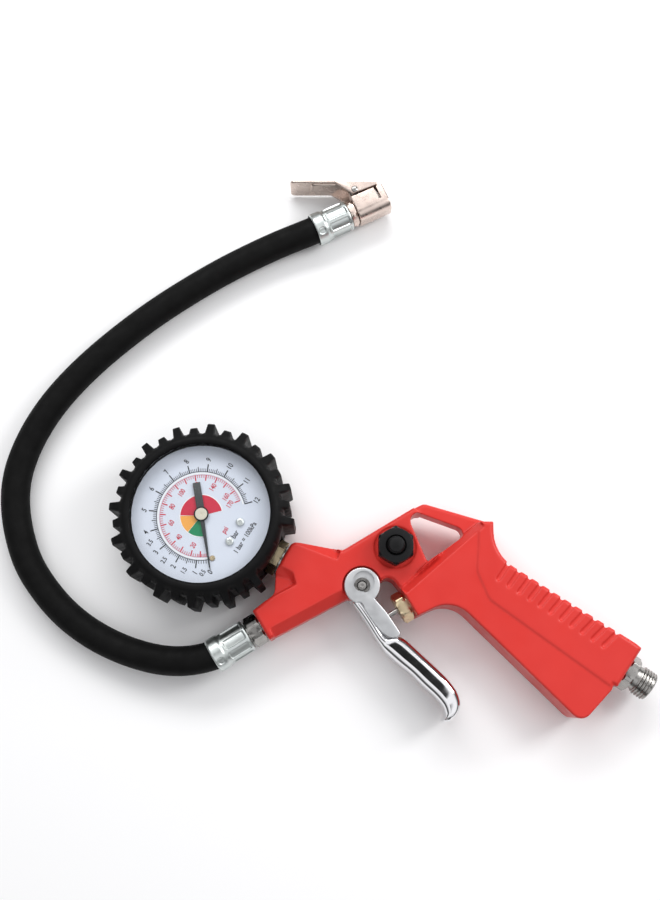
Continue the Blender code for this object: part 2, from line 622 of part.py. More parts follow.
def gauge_point(x, y):
    """A point of the gauge, with x towards its stem, in the tool's frame."""
    return along(GAUGE, STEM_HEADING, x, y)


def build_dial(place, tilt):
    dial = finish("gauge_dial", rod(DIAL_RADIUS, DIAL_Z - 0.6, DIAL_Z, 40), DIAL_WHITE, place, tilt)
    cut(dial, finish("dial_hole", rod(1.6, 20, 40, 12), None, place))
    for number, side in ((1, 1), (2, -1)):
        spot = (*gauge_point(16.5, 4.75 * side), 0)
        cut(dial, finish("screw_hole", rod(1.2, 20, 40, 12), None, spot))
        screw = [(0.8, 26.4), (0.8, DIAL_Z + GAP), (1.75, DIAL_Z + GAP), (1.75, DIAL_Z + 0.8),
                 (1.3, DIAL_Z + 1.1)]
        finish(f"dial_screw_{number}", turned(screw, 16), ZINC, spot)
        post = [(1.8, 18.2), (1.8, DIAL_Z - 0.9), (1.1, DIAL_Z - 0.9), (1.1, 26.0)]
        finish(f"dial_post_{number}", turned(post, 16), BRASS, spot)
    spot = (*along(GAUGE, ZERO_HEADING + 4.8, 19.7), 0)
    cut(dial, finish("stop_hole", rod(0.8, 20, 40, 8), None, spot))
    finish("stop_pin", rod(0.5, 28.0, 31.2, 10), STEEL, spot)


def build_socket(place, tilt):
    stem_place, stem_tilt = (*GAUGE, STEM_Z), lying(STEM_HEADING)
    socket = finish("gauge_socket", box((14.0, -6.5, 8.0), (26.0, 6.5, 16.5)), BRASS, place, tilt)
    unite(socket, finish("stem_rod", rod(4.5, 25.0, 48.0, 24), None, stem_place, stem_tilt))
    unite(socket, finish("stem_hex", hexagon(14.0, 34.6, 38.3), None, stem_place, stem_tilt))
    cut(socket, finish("stem_bore", rod(1.8, 18.0, 49.0, 10), None, stem_place, stem_tilt))
    washer = ring_of(4.8, 7.0, 38.6, LUG_REACH - GAP, 24)
    finish("socket_washer", washer, STEEL, stem_place, stem_tilt)

    points = []
    for k in range(25):
        out = heading(16.8 + (TIP_ANGLE - 16.8) * k / 24) * TUBE_RADIUS
        points.append((out.x, out.y, 12.0))
    tube = finish("bourdon_tube", tube_along(points, 1.2, 3.4), BRASS, place, tilt)
    tip = heading(TIP_ANGLE - 2) * TUBE_RADIUS
    unite(tube, finish("tip_pin", rod(0.6, 14.0, 19.6, 10), None, (*gauge_point(tip.x, tip.y), 0)))


# ---------------------------------------------------------------- movement

TUBE_RADIUS = 24.5
TIP_ANGLE = 268.0
SECTOR_PITCH = PITCH_RADIUS * GEAR_RATIO
SECTOR = (8.1, -14.03)  # its pivot, one pitch radius of each gear from the pointer's axis
TAIL = 6.5
SECTOR_PLANE = (21.2, 22.2)
TOOTH = 360 / (TEETH * GEAR_RATIO)  # pitch of the sector's teeth, in degrees
BACK_PLATE = [(24.6, -6.2, 1), (24.6, 6.2, 1), (12, 7.5, 2), (-3, 5, 2), (-6, -4, 2),
              (-6, -15.5, 2), (4, -18.5, 2), (11.5, -17.5, 2), (14, -9, 1)]
FRONT_PLATE = [(4.0, 4.5, 2), (-4.5, 4.5, 2), (-6, -4, 2), (-6, -15.5, 2), (4, -18.5, 2),
               (11.5, -17.5, 2), (14, -6.5, 1), (14, -0.5, 1)]


def gear_outline(radius, teeth, first, last, count, slim):
    """Points of straight-sided teeth between two angles: root, tip, tip, root for each tooth."""
    points = []
    for k in range(count):
        middle = first + (last - first) * (k + 0.5) / count
        for offset, depth in ((-0.27, -0.45), (-0.11, 0.28), (0.11, 0.28), (0.27, -0.45)):
            out = heading(middle + offset * slim * 360 / teeth) * (radius + depth)
            points.append((out.x, out.y, 0))
    return points


def build_movement(place, tilt):
    for name, outline, low, high in (("movement_back_plate", BACK_PLATE, 16.9, 17.9),
                                     ("movement_front_plate", FRONT_PLATE, 25.4, 26.4)):
        plate = finish(name, slab(outline, low, high, 0, 3), BRASS, place, tilt)
        cut(plate, finish("arbor_hole", rod(1.0, 10, 30, 10), None, place))
        cut(plate, finish("sector_hole", rod(1.1, 10, 30, 10), None, (*gauge_point(*SECTOR), 0)))
    for number, spot in ((1, (11.6, -3.0)), (2, (-3.2, -13.6))):
        pillar = rod(1.3, 17.9 + GAP, 25.4 - GAP, 12)
        finish(f"movement_pillar_{number}", pillar, BRASS, (*gauge_point(*spot), 0))

    pivot = (*gauge_point(*SECTOR), 0)
    to_pinion = math.degrees(math.atan2(-SECTOR[1], -SECTOR[0]))
    low, high = SECTOR_PLANE
    teeth = 9
    arc = gear_outline(SECTOR_PITCH, TEETH * GEAR_RATIO, to_pinion - TOOTH * (teeth - 1),
                       to_pinion + TOOTH, teeth, 0.86)
    shoulder = heading(to_pinion + 12) * 4.0
    web = [(shoulder.x, shoulder.y, 0), (-TAIL - 1.4, 1.3, 0), (-TAIL - 1.4, -1.3, 0), (1.0, -2.0, 0),
           (2.6, 1.0, 0)]
    sector = finish("sector_gear", slab(arc + web, low, high), BRASS, pivot, tilt)
    unite(sector, finish("sector_shaft", rod(0.8, 16.4, 27.0, 10), None, pivot, tilt))
    tail = (*gauge_point(SECTOR[0] - TAIL, SECTOR[1]), 0)
    cut(sector, finish("tail_hole", rod(0.9, 18, 24, 10), None, tail))

    tip = heading(TIP_ANGLE - 2) * TUBE_RADIUS
    start = Vector((SECTOR[0] - TAIL, SECTOR[1]))
    reach = Vector((tip.x, tip.y)) - start
    along_link = math.degrees(math.atan2(reach.y, reach.x)) + STEM_HEADING
    length = reach.length
    bar = [(-1.2, -1.0, 0), (length + 1.2, -1.0, 0), (length + 1.2, 1.0, 0), (-1.2, 1.0, 0)]
    turn = (0, 0, math.radians(along_link))
    link = finish("tube_link", slab(bar, 20.0, 20.7), BRASS, tail, turn)
    unite(link, finish("link_pin", rod(0.6, 20.2, 22.8, 10), None, tail, turn))

    angle = to_pinion + 180 - 180 / TEETH
    teeth_outline = gear_outline(PITCH_RADIUS, TEETH, angle, angle + 360, TEETH, 0.86)
    pinion = finish("pinion", slab(teeth_outline, low - 0.4, high + 0.4), BRASS, place, tilt)
    unite(pinion, finish("arbor", rod(0.7, 16.4, DIAL_Z + 1.0, 10), None, place, tilt))
    spiral = []
    for k in range(46):
        a = 2 * math.pi * k / 15
        r = 1.3 + 0.9 * a / (2 * math.pi)
        spiral.append((r * math.cos(a), r * math.sin(a), 23.8))
    finish("hairspring", tube_along(spiral, 0.15, 0.35, 4), STEEL, place, tilt)


def build_pointer(place):
    tilt = (0, 0, math.radians(ZERO_HEADING))
    low, high = DIAL_Z + 0.7, DIAL_Z + 1.1
    needle = [(25.0, -0.2, 0), (25.0, 0.2, 0), (3.0, 1.5, 0), (0, 2.6, 0), (-3.0, 1.6, 0),
              (-14.2, 1.6, 0), (-14.2, -1.6, 0), (-3.0, -1.6, 0), (0, -2.6, 0), (3.0, -1.5, 0)]
    pointer = finish("pointer", slab(needle, low, high), PLASTIC, place, tilt)
    cut(pointer, finish("pointer_hole", rod(1.0, 20, 40, 10), None, place))
    hub = [(3.2, high + GAP), (3.2, high + 0.7), (2.6, high + 1.2)]
    finish("pointer_hub", turned(hub, 24), PLASTIC, place, tilt)


def build_gauge():
    place, tilt = (*GAUGE, 0), (0, 0, math.radians(STEM_HEADING))
    build_gauge_housing(place, tilt)
    build_dial(place, tilt)
    build_socket(place, tilt)
    build_movement(place, tilt)
    build_pointer(place)


for old in list(bpy.data.objects):
    bpy.data.objects.remove(old, do_unlink=True)
row_frame = bpy.data.objects.new("row_frame", None)
row_frame.location = Vector(ROW_SHIFT) * MM
bpy.context.scene.collection.objects.link(row_frame)

build_gun_body()
build_inlet()
build_valve()
build_bleed_valve()
build_trigger()
build_hose()
build_chuck()
build_gauge()
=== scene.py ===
"""Tyre inflator with gauge: the looks. Lengths are in millimetres in the tool's own frame, the one
that part.py uses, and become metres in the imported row's frame through place_of() and TO_ROW."""

import json
import math

import bmesh
import bpy
from mathutils import Euler, Matrix, Vector

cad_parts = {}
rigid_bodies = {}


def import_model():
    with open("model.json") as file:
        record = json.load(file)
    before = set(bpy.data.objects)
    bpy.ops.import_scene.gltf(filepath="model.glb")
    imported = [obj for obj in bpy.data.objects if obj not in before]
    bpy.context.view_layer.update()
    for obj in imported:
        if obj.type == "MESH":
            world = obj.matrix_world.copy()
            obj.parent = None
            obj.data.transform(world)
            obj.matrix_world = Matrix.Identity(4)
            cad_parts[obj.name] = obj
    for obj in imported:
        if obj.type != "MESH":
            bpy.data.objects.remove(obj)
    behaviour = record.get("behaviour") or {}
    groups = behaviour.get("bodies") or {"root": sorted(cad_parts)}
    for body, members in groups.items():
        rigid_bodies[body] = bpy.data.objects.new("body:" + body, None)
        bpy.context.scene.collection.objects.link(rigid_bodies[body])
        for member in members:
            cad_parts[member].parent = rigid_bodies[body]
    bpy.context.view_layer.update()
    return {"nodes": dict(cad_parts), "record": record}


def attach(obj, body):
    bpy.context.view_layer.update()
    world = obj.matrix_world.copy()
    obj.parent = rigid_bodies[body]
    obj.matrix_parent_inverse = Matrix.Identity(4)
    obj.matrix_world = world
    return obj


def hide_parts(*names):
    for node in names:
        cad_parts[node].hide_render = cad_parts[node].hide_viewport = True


for old in list(bpy.data.objects):
    bpy.data.objects.remove(old, do_unlink=True)
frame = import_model()

MM = 0.001
SHIFT = Vector((0.76, 0.02, 0.0))  # from the tool's origin to the row's
TO_ROW = Matrix.Scale(MM, 4) @ Matrix.Translation(SHIFT)

# Places of the main parts. Headings are in degrees from +X towards +Y.
MID = 13.0  # the height of the casting's middle, where the air passages run
OUTLET, OUTLET_HEADING = (-53.95, -23.4), 211.5
INLET, INLET_HEADING = (104.0, -42.0), -35.0
VALVE, VALVE_HEADING = (10.3, -13.6), 211.0
PIVOT = (-10.0, -6.3)
BLEED = (4.6, 10.5)
GAUGE, STEM_HEADING = (-79.8, 23.8), -27.5
DIAL_Z, ZERO_HEADING = 29.6, -79.8
CHUCK, CHUCK_HEADING, CHUCK_Z = (-15.2, 171.9), 25.4, 8.5
HOSE_OD = 13.0


def heading(degrees):
    return Vector((math.cos(math.radians(degrees)), math.sin(math.radians(degrees)), 0))


def along(point, degrees, distance, sideways=0.0):
    """The point at a distance along a heading, and sideways to its left."""
    out = heading(degrees)
    return (
        point[0] + out.x * distance - out.y * sideways,
        point[1] + out.y * distance + out.x * sideways,
    )


def lying(degrees):
    """The rotation that lays a piece turned about its own Z along a heading."""
    return (0, math.pi / 2, math.radians(degrees))


def posed(place=(0, 0, 0), tilt=(0, 0, 0)):
    """The matrix that turns a piece by its tilt and sets it at a place, in the tool's frame."""
    return Matrix.Translation(place) @ Euler(tilt).to_matrix().to_4x4()


def place_of(point):
    """A point in the tool's frame as metres in the row's frame."""
    return (Vector(point) + SHIFT) * MM


# ---------------------------------------------------------------- materials

class Look:
    """A Principled shader whose roughness, colour and relief follow noise in patches. The sizes of
    the patches are in millimetres."""

    def __init__(self, name, colour, roughness, metallic=0.0):
        self.material = bpy.data.materials.new(name)
        self.material.use_nodes = True
        self.tree = self.material.node_tree
        self.shader = self.tree.nodes["Principled BSDF"]
        self.colour = (*colour, 1)
        self.set("Base Color", self.colour)
        self.set("Roughness", roughness)
        self.set("Metallic", metallic)
        self.place = self.tree.nodes.new("ShaderNodeTexCoord").outputs["Object"]
        self.normal = None

    def set(self, socket, value):
        self.shader.inputs[socket].default_value = value
        return self

    def link(self, source, target):
        self.tree.links.new(source, target)

    def noise(self, size, detail):
        node = self.tree.nodes.new("ShaderNodeTexNoise")
        node.inputs["Scale"].default_value = 1 / (size * MM)
        node.inputs["Detail"].default_value = detail
        self.link(self.place, node.inputs["Vector"])
        return node.outputs["Fac"]

    def spread(self, noise, low, high):
        """Stretches the middle of the noise over a range of values."""
        node = self.tree.nodes.new("ShaderNodeMapRange")
        limits = {"From Min": 0.3, "From Max": 0.7, "To Min": low, "To Max": high}
        for socket, value in limits.items():
            node.inputs[socket].default_value = value
        self.link(noise, node.inputs["Value"])
        return node.outputs["Result"]

    def rough(self, size, low, high):
        """Varies the roughness."""
        self.link(self.spread(self.noise(size, 4), low, high), self.shader.inputs["Roughness"])
        return self

    def tint(self, size, other, most):
        """Blends the base colour towards another, by this share at most."""
        node = self.tree.nodes.new("ShaderNodeMix")
        node.data_type = "RGBA"
        node.inputs["A"].default_value = self.colour
        node.inputs["B"].default_value = (*other, 1)
        self.link(self.spread(self.noise(size, 5), 0, most), node.inputs["Factor"])
        self.link(node.outputs["Result"], self.shader.inputs["Base Color"])
        return self

    def bump(self, size, depth, detail=2):
        """Adds relief this many millimetres deep."""
        node = self.tree.nodes.new("ShaderNodeBump")
        node.inputs["Strength"].default_value = 1.0
        node.inputs["Distance"].default_value = depth * MM
        self.link(self.noise(size, detail), node.inputs["Height"])
        if self.normal:
            self.link(self.normal, node.inputs["Normal"])
        self.normal = node.outputs["Normal"]
        self.link(self.normal, self.shader.inputs["Normal"])
        return self


RED = (Look("red_enamel", (0.66, 0.038, 0.03), 0.34).rough(9, 0.28, 0.4)
       .tint(14, (0.6, 0.03, 0.024), 0.5).bump(1.1, 0.012).bump(7, 0.03)
       .set("Specular IOR Level", 0.28))
CHROME = (Look("trigger_chrome", (0.83, 0.83, 0.84), 0.07, 1.0).rough(5, 0.04, 0.12)
          .tint(8, (0.74, 0.74, 0.76), 0.4).bump(4, 0.008))
SATIN = (Look("trigger_satin", (0.62, 0.63, 0.64), 0.4, 1.0).rough(3, 0.34, 0.46)
         .tint(5, (0.55, 0.56, 0.57), 0.4).bump(0.6, 0.004))
STEEL = (Look("plain_steel", (0.4, 0.39, 0.375), 0.28, 1.0).rough(2.5, 0.2, 0.36)
         .tint(3, (0.29, 0.28, 0.265), 0.6).bump(0.5, 0.006))
ZINC = (Look("zinc_plate", (0.66, 0.7, 0.685), 0.38, 1.0).rough(2.5, 0.32, 0.46)
        .tint(3.5, (0.56, 0.6, 0.59), 0.6).bump(0.7, 0.012))
NICKEL = (Look("nickel_plate", (0.7, 0.59, 0.53), 0.27, 1.0).rough(3, 0.22, 0.36)
          .tint(4, (0.63, 0.51, 0.45), 0.6).bump(0.8, 0.01))
BRASS = (Look("turned_brass", (0.82, 0.68, 0.45), 0.3, 1.0).rough(2.5, 0.24, 0.4)
         .tint(3.5, (0.72, 0.58, 0.36), 0.6).bump(0.6, 0.008))
RUBBER = (Look("boot_rubber", (0.0035, 0.0035, 0.0038), 0.5).rough(3, 0.46, 0.64)
          .tint(5, (0.006, 0.006, 0.0064), 0.8).bump(0.45, 0.02, 4).bump(5, 0.05)
          .set("Specular IOR Level", 0.12))
HOSE = (Look("hose_rubber", (0.004, 0.004, 0.004), 0.6).rough(4, 0.52, 0.68)
        .tint(6, (0.007, 0.007, 0.007), 0.8).bump(0.5, 0.03, 4).bump(9, 0.1)
        .set("Specular IOR Level", 0.08))
PLASTIC = (Look("black_plastic", (0.006, 0.006, 0.0065), 0.36).rough(3, 0.3, 0.44)
           .tint(4, (0.01, 0.01, 0.011), 0.7).bump(0.5, 0.012).set("Specular IOR Level", 0.18))
SEAL = Look("seal_rubber", (0.015, 0.015, 0.015), 0.5).rough(1, 0.42, 0.58).bump(0.3, 0.01)
# The blue cast of the dial's colour is a painted reflection of the sky in its lens; the patches
# vary its tone at random.
DIAL_PAINTED_REFLECTION = (Look("dial_print", (0.66, 0.71, 0.8), 0.42).rough(4, 0.38, 0.46)
        .tint(20, (0.62, 0.68, 0.78), 0.6).bump(0.4, 0.003))
LENS = (Look("lens_clear", (0.3, 0.33, 0.36), 0.05).rough(12, 0.03, 0.07).bump(30, 0.01)
        .set("Alpha", 0.025))
INK = Look("ink_black", (0.003, 0.003, 0.005), 0.6).rough(1, 0.4, 0.5).bump(0.3, 0.002)
CRIMSON = (Look("ink_crimson", (0.58, 0.012, 0.045), 0.45).rough(1, 0.4, 0.5)
           .tint(3, (0.52, 0.01, 0.04), 0.5))
ORANGE = (Look("ink_orange", (0.87, 0.4, 0.07), 0.45).rough(1, 0.4, 0.5)
          .tint(3, (0.8, 0.35, 0.06), 0.5))
GREEN = (Look("ink_green", (0.0, 0.24, 0.09), 0.6).rough(1, 0.4, 0.5)
         .tint(3, (0.0, 0.18, 0.07), 0.5))
WHITE = (Look("ink_white", (0.84, 0.86, 0.88), 0.45).rough(1, 0.4, 0.5)
         .tint(3, (0.78, 0.8, 0.82), 0.4))
POINTER = (Look("pointer_paint", (0.03, 0.034, 0.036), 0.42).rough(1.5, 0.36, 0.5)
           .bump(0.4, 0.006))
CREAM = (Look("hub_cream", (0.66, 0.63, 0.52), 0.4).rough(2, 0.34, 0.46)
         .tint(2, (0.58, 0.55, 0.45), 0.5))

SLOTS = {
    "red_enamel": RED, "trigger_chrome": CHROME, "plain_steel": STEEL, "turned_brass": BRASS,
    "zinc_plate": ZINC, "nickel_plate": NICKEL, "boot_rubber": RUBBER, "hose_rubber": HOSE,
    "black_plastic": PLASTIC, "seal_rubber": SEAL, "dial_print": DIAL_PAINTED_REFLECTION, "lens_clear": LENS,
}
for part in frame["record"]["subparts"]:
    solid = frame["nodes"][part["node"]]
    solid.data.materials.clear()
    solid.data.materials.append(SLOTS[part["material_slot"]].material)


# ---------------------------------------------------------------- mesh tools

def new_object(name, data):
    obj = bpy.data.objects.new(name, data)
    bpy.context.scene.collection.objects.link(obj)
    return obj


def mesh_from(name, mesh):
    """Mesh data made of a bmesh, which is freed."""
    data = bpy.data.meshes.new(name)
    mesh.to_mesh(data)
    mesh.free()
    return data


def shade(data, angle):
    """Shades smoothly, with crisp edges where faces meet at more than an angle in degrees."""
    data.shade_smooth()
    data.set_sharp_from_angle(angle=math.radians(angle))


def settle(obj, body="gun", hides=()):
    """Lets the object ride on a body, instead of the CAD nodes it hides."""
    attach(obj, body)
    if hides:
        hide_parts(*hides)
    return obj


def piece(name, mesh, look, slot, body="gun", place=(0, 0, 0), tilt=(0, 0, 0), angle=40, hides=()):
    """Turns a bmesh in millimetres into a settled object."""
    mesh.transform(TO_ROW @ posed(place, tilt))
    bmesh.ops.recalc_face_normals(mesh, faces=mesh.faces)
    data = mesh_from(name, mesh)
    data.materials.append(look.material)
    shade(data, angle)
    return settle(new_object(name, data), body, hides)


def apply_modifiers(obj):
    graph = bpy.context.evaluated_depsgraph_get()
    done = bpy.data.meshes.new_from_object(obj.evaluated_get(graph))
    old = obj.data
    obj.modifiers.clear()
    obj.data = done
    bpy.data.meshes.remove(old)


def carved(obj, cutters, angle):
    """Cuts helper meshes, in the tool's frame, out of the object and shades it again."""
    for mesh in cutters:
        bmesh.ops.recalc_face_normals(mesh, faces=mesh.faces)
        mesh.transform(TO_ROW)
        tool = new_object("cutter", mesh_from("cutter", mesh))
        step = obj.modifiers.new("cut", "BOOLEAN")
        step.object, step.operation, step.solver = tool, "DIFFERENCE", "EXACT"
        apply_modifiers(obj)
        data = tool.data
        bpy.data.objects.remove(tool)
        bpy.data.meshes.remove(data)
    shade(obj.data, angle)
    return obj


def softened(obj, voxel, rounds):
    """One skin over all the shapes of the object, with its edges rounded off as a casting's are."""
    step = obj.modifiers.new("skin", "REMESH")
    step.mode, step.voxel_size, step.use_smooth_shade = "VOXEL", voxel * MM, True
    step = obj.modifiers.new("soft", "SMOOTH")
    step.iterations, step.factor = rounds, 0.5
    apply_modifiers(obj)
    obj.data.shade_smooth()


def copy_of(node, name):
    """A new object with the mesh of a CAD node, its split edges joined again."""
    data = frame["nodes"][node].data.copy()
    data.name = name
    mesh = bmesh.new()
    mesh.from_mesh(data)
    bmesh.ops.remove_doubles(mesh, verts=mesh.verts, dist=0.002 * MM)
    mesh.to_mesh(data)
    mesh.free()
    return new_object(name, data)


def rounded(corners, steps=6):
    """An outline whose corners (x, y, radius) are arcs. A radius of zero keeps a corner sharp."""
    points = []
    for i, (x, y, radius) in enumerate(corners):
        here = Vector((x, y))
        back = (Vector(corners[i - 1][:2]) - here).normalized()
        on = (Vector(corners[(i + 1) % len(corners)][:2]) - here).normalized()
        if radius <= 0:
            points.append(here)
            continue
        half = back.angle(on) / 2
        centre = here + (back + on).normalized() * radius / math.sin(half)
        start = here + back * radius / math.tan(half) - centre
        sweep = start.angle_signed(here + on * radius / math.tan(half) - centre)
        for k in range(steps + 1):
            points.append(centre + Matrix.Rotation(-sweep * k / steps, 2) @ start)
    if sum(a.x * b.y - b.x * a.y for a, b in zip(points, points[1:] + points[:1])) < 0:
        points.reverse()
    return points


def inset(points, distance):
    """The outline moved inwards. The points run anticlockwise."""
    moved = []
    for i, here in enumerate(points):
        before = (here - points[i - 1]).normalized()
        after = (points[(i + 1) % len(points)] - here).normalized()
        normal = Vector((-before.y - after.y, before.x + after.x)).normalized()
        lean = max(0.5, normal.dot(Vector((-after.y, after.x))))
        moved.append(here + normal * distance / lean)
    return moved


def loft(rings, closed=False, mesh=None):
    """A closed mesh through rings of equal length, with a face on each end or joined into a loop.
    It can be added to another mesh."""
    mesh = mesh or bmesh.new()
    rows = [[mesh.verts.new(p) for p in ring] for ring in rings]
    pairs = list(zip(rows, rows[1:]))
    if closed:
        pairs.append((rows[-1], rows[0]))
    else:
        mesh.faces.new(rows[0])
        mesh.faces.new(rows[-1])
    for low, high in pairs:
        for k in range(len(low)):
            mesh.faces.new((low[k - 1], low[k], high[k], high[k - 1]))
    return mesh


def slab(corners, low, high, edge, steps=6, arc=4):
    """A rounded outline extruded from low to high, with its upper and lower edges rounded too."""
    points = rounded(corners, steps)
    turns = [math.pi / 2 * k / arc for k in range(arc + 1)]
    levels = [(low + edge * (1 - math.sin(t)), edge * (1 - math.cos(t))) for t in reversed(turns)]
    levels += [(high - edge * (1 - math.sin(t)), edge * (1 - math.cos(t))) for t in turns]
    return loft([[(p.x, p.y, z) for p in inset(points, depth)] for z, depth in levels])


def turned(profile, sides=96, closed=False, reach=None):
    """A solid turned about Z through (radius, height) points. A closed profile makes a ring, and
    reach(angle, radius, height) may change the radius."""
    turns = [2 * math.pi * (k + 0.5) / sides for k in range(sides)]
    rings = []
    for radius, height in profile:
        radii = [reach(a, radius, height) if reach else radius for a in turns]
        rings.append([(r * math.cos(a), r * math.sin(a), height) for a, r in zip(turns, radii)])
    return loft(rings, closed)


def box(low, high):
    x0, y0, z0 = low
    x1, y1, z1 = high
    return loft([[(x0, y0, z), (x1, y0, z), (x1, y1, z), (x0, y1, z)] for z in (z0, z1)])


def upright_hole(point, radius, low, high, sides=32):
    """A cutter for a round hole along Z between two heights."""
    hole = turned([(radius, low), (radius, high)], sides)
    hole.transform(posed((*point, 0)))
    return hole


def hexagonal(flats, low=-math.inf, high=math.inf):
    """A reach for turned(): between two heights the radius stays inside a hexagon this wide over
    its flats."""
    def reach(angle, radius, height):
        if not low < height < high:
            return radius
        off = (angle + math.pi / 6) % (math.pi / 3) - math.pi / 6
        return min(radius, flats / 2 / math.cos(off))
    return reach


def nut_profile(flats, low, high, chamfer):
    """A hexagon's profile for turned(), with its corners turned off at both ends."""
    corner = flats / 2 / math.cos(math.pi / 6)
    return [(flats / 2 - 0.3, low), (flats / 2 + 0.05, low + 0.12), (corner, low + chamfer),
            (corner, high - chamfer), (flats / 2 + 0.05, high - 0.12), (flats / 2 - 0.3, high)]


def arc_band(mesh, first, last, inner, outer, z, thick=0.05, steps=96):
    """Adds a flat band between two headings. An inner radius of zero makes a sector."""
    turns = [first + (last - first) * k / steps for k in range(steps + 1)]
    flat = [heading(a) * outer for a in turns]
    flat += [heading(a) * inner for a in reversed(turns)] if inner else [Vector((0, 0, 0))]
    rows = [[mesh.verts.new(p + Vector((0, 0, h))) for p in flat] for h in (z, z + thick)]
    for k in range(len(flat)):
        mesh.faces.new((rows[0][k - 1], rows[0][k], rows[1][k], rows[1][k - 1]))
    for row in rows:
        for k in range(steps):
            across = (row[-k - 2], row[-k - 1]) if inner else (row[-1],)
            mesh.faces.new((row[k], row[k + 1], *across))


def smooth_step(value):
    """Rises smoothly from 0 to 1 while the value does."""
    t = min(1.0, max(0.0, value))
    return t * t * (3 - 2 * t)


def catmull_rom(a, b, c, d, t):
    """The point at a share t of the way from b to c, on a smooth curve through all four."""
    return 0.5 * (2 * b + (c - a) * t + (2 * a - 5 * b + 4 * c - d) * t * t
                  + (3 * b - a - 3 * c + d) * t ** 3)


# ---------------------------------------------------------------- camera, floor and light

# The sky's grey at heights on a unit dome, from the horizon to straight up. The dark spot overhead
# keeps the metal and the lens from mirroring a white sky.
SKY = [(0.0, 0.1), (0.3, 0.08), (0.5, 0.16), (0.66, 0.8), (0.9, 1.08), (0.972, 1.08),
       (0.984, 0.02), (1.0, 0.02)]


def build_camera():
    tilt, distance = math.radians(12.0), 520.0
    aim = Vector((-24.0, 56.0, MID))
    lens = bpy.data.cameras.new("camera")
    lens.sensor_fit, lens.sensor_height, lens.lens = "VERTICAL", 36.0, 45.76
    lens.clip_start, lens.clip_end = 0.01, 10
    camera = new_object("camera", lens)
    camera.location = place_of(aim + distance * Vector((0, -math.sin(tilt), math.cos(tilt))))
    camera.rotation_euler = (tilt, 0, 0)
    bpy.context.scene.camera = camera


def build_light(name, place, aim, size, watts):
    """A rectangular soft light, in metres."""
    lamp = bpy.data.lights.new(name, "AREA")
    lamp.shape, lamp.size, lamp.size_y = "RECTANGLE", size[0], size[1]
    lamp.energy = watts
    obj = new_object(name, lamp)
    obj.location = place
    obj.rotation_euler = (Vector(aim) - Vector(place)).to_track_quat("-Z", "Y").to_euler()


def build_floor():
    mesh = bmesh.new()
    bmesh.ops.create_grid(mesh, x_segments=1, y_segments=1, size=30.0)
    data = mesh_from("floor", mesh)
    look = Look("floor", (0.93, 0.93, 0.93), 0.7).rough(300, 0.66, 0.74)
    data.materials.append(look.material)
    floor = new_object("floor", data)
    floor.location = (0, 0, -0.0002)


def build_sky():
    world = bpy.data.worlds.new("studio")
    world.use_nodes = True
    bpy.context.scene.world = world
    tree = world.node_tree
    place = tree.nodes.new("ShaderNodeTexCoord").outputs["Generated"]
    split = tree.nodes.new("ShaderNodeSeparateXYZ")
    ramp = tree.nodes.new("ShaderNodeValToRGB")
    tree.links.new(place, split.inputs["Vector"])
    tree.links.new(split.outputs["Z"], ramp.inputs["Fac"])
    tree.links.new(ramp.outputs["Color"], tree.nodes["Background"].inputs["Color"])
    stops = ramp.color_ramp.elements
    stops[0].position, stops[1].position = SKY[0][0], SKY[-1][0]
    for height, _ in SKY[1:-1]:
        stops.new(height)
    for stop, (_, grey) in zip(stops, SKY):
        stop.color = (grey, grey, grey * 1.02, 1)
    tree.nodes["Background"].inputs["Strength"].default_value = 1.0


def build_stage():
    build_floor()
    build_sky()
    build_light("key", (-0.2, 0.95, 0.85), (0, 0.05, 0), (1.3, 0.4), 9.0)
    build_light("rim", (0.6, 0.3, 0.5), (0.05, 0, 0), (0.25, 0.5), 3.0)
    bpy.context.scene.view_settings.view_transform = "Standard"


# ---------------------------------------------------------------- hose

# The hose's middle line, from inside the gun's ferrule to inside the chuck's.
ROUTE = [
    (-73.6, -35.4, 13.0), (-79.6, -37.3, 12.8), (-86.4, -38.4, 12.1), (-94.6, -38.4, 10.7),
    (-103.6, -36.9, 9.1), (-112.7, -34.3, 7.8), (-121.8, -30.6, 6.9), (-131.0, -25.7, 6.6),
    (-140.1, -19.1, 6.6), (-148.2, -11.2, 6.6), (-155.3, -2.2, 6.6), (-160.9, 7.0, 6.6),
    (-166.4, 24.9, 6.6), (-167.4, 43.3, 6.6), (-161.9, 62.1, 6.6), (-150.9, 81.1, 6.6),
    (-133.6, 100.5, 6.6), (-110.8, 120.1, 6.6), (-90.4, 134.5, 6.6), (-71.6, 146.0, 6.6),
    (-52.7, 155.7, 6.9), (-42.0, 160.2, 7.6), (-30.0, 164.9, 8.5),
]


def smooth_route(points, spacing, rounds):
    """Points about a spacing apart on a curve through the route, averaged with their neighbours."""
    route = [Vector(p) for p in points]
    route = [2 * route[0] - route[1]] + route + [2 * route[-1] - route[-2]]
    made = [route[1]]
    for a, b, c, d in zip(route, route[1:], route[2:], route[3:]):
        count = max(1, round((c - b).length / spacing))
        made += [catmull_rom(a, b, c, d, k / count) for k in range(1, count + 1)]
    for _ in range(rounds):
        inner = [(a + 2 * b + c) / 4 for a, b, c in zip(made, made[1:], made[2:])]
        made = [made[0], *inner, made[-1]]
    return made


def build_hose(pieces_on_it):
    points = smooth_route(ROUTE, 2.5, 6)
    curve = bpy.data.curves.new("air_hose", "CURVE")
    curve.dimensions = "3D"
    curve.bevel_depth = HOSE_OD / 2 * MM
    curve.bevel_resolution = 12
    curve.use_fill_caps = True
    spline = curve.splines.new("POLY")
    spline.points.add(len(points) - 1)
    for target, point in zip(spline.points, points):
        target.co = (*place_of(point), 1)
    spline.use_smooth = True
    curve.materials.append(HOSE.material)
    hose = settle(new_object("air_hose", curve), hides=("hose",))
    length = sum((b - a).length for a, b in zip(points, points[1:])) * MM
    leaves_gun = (*along(OUTLET, OUTLET_HEADING, 25.0), MID)
    place_of(leaves_gun)


# ---------------------------------------------------------------- gun

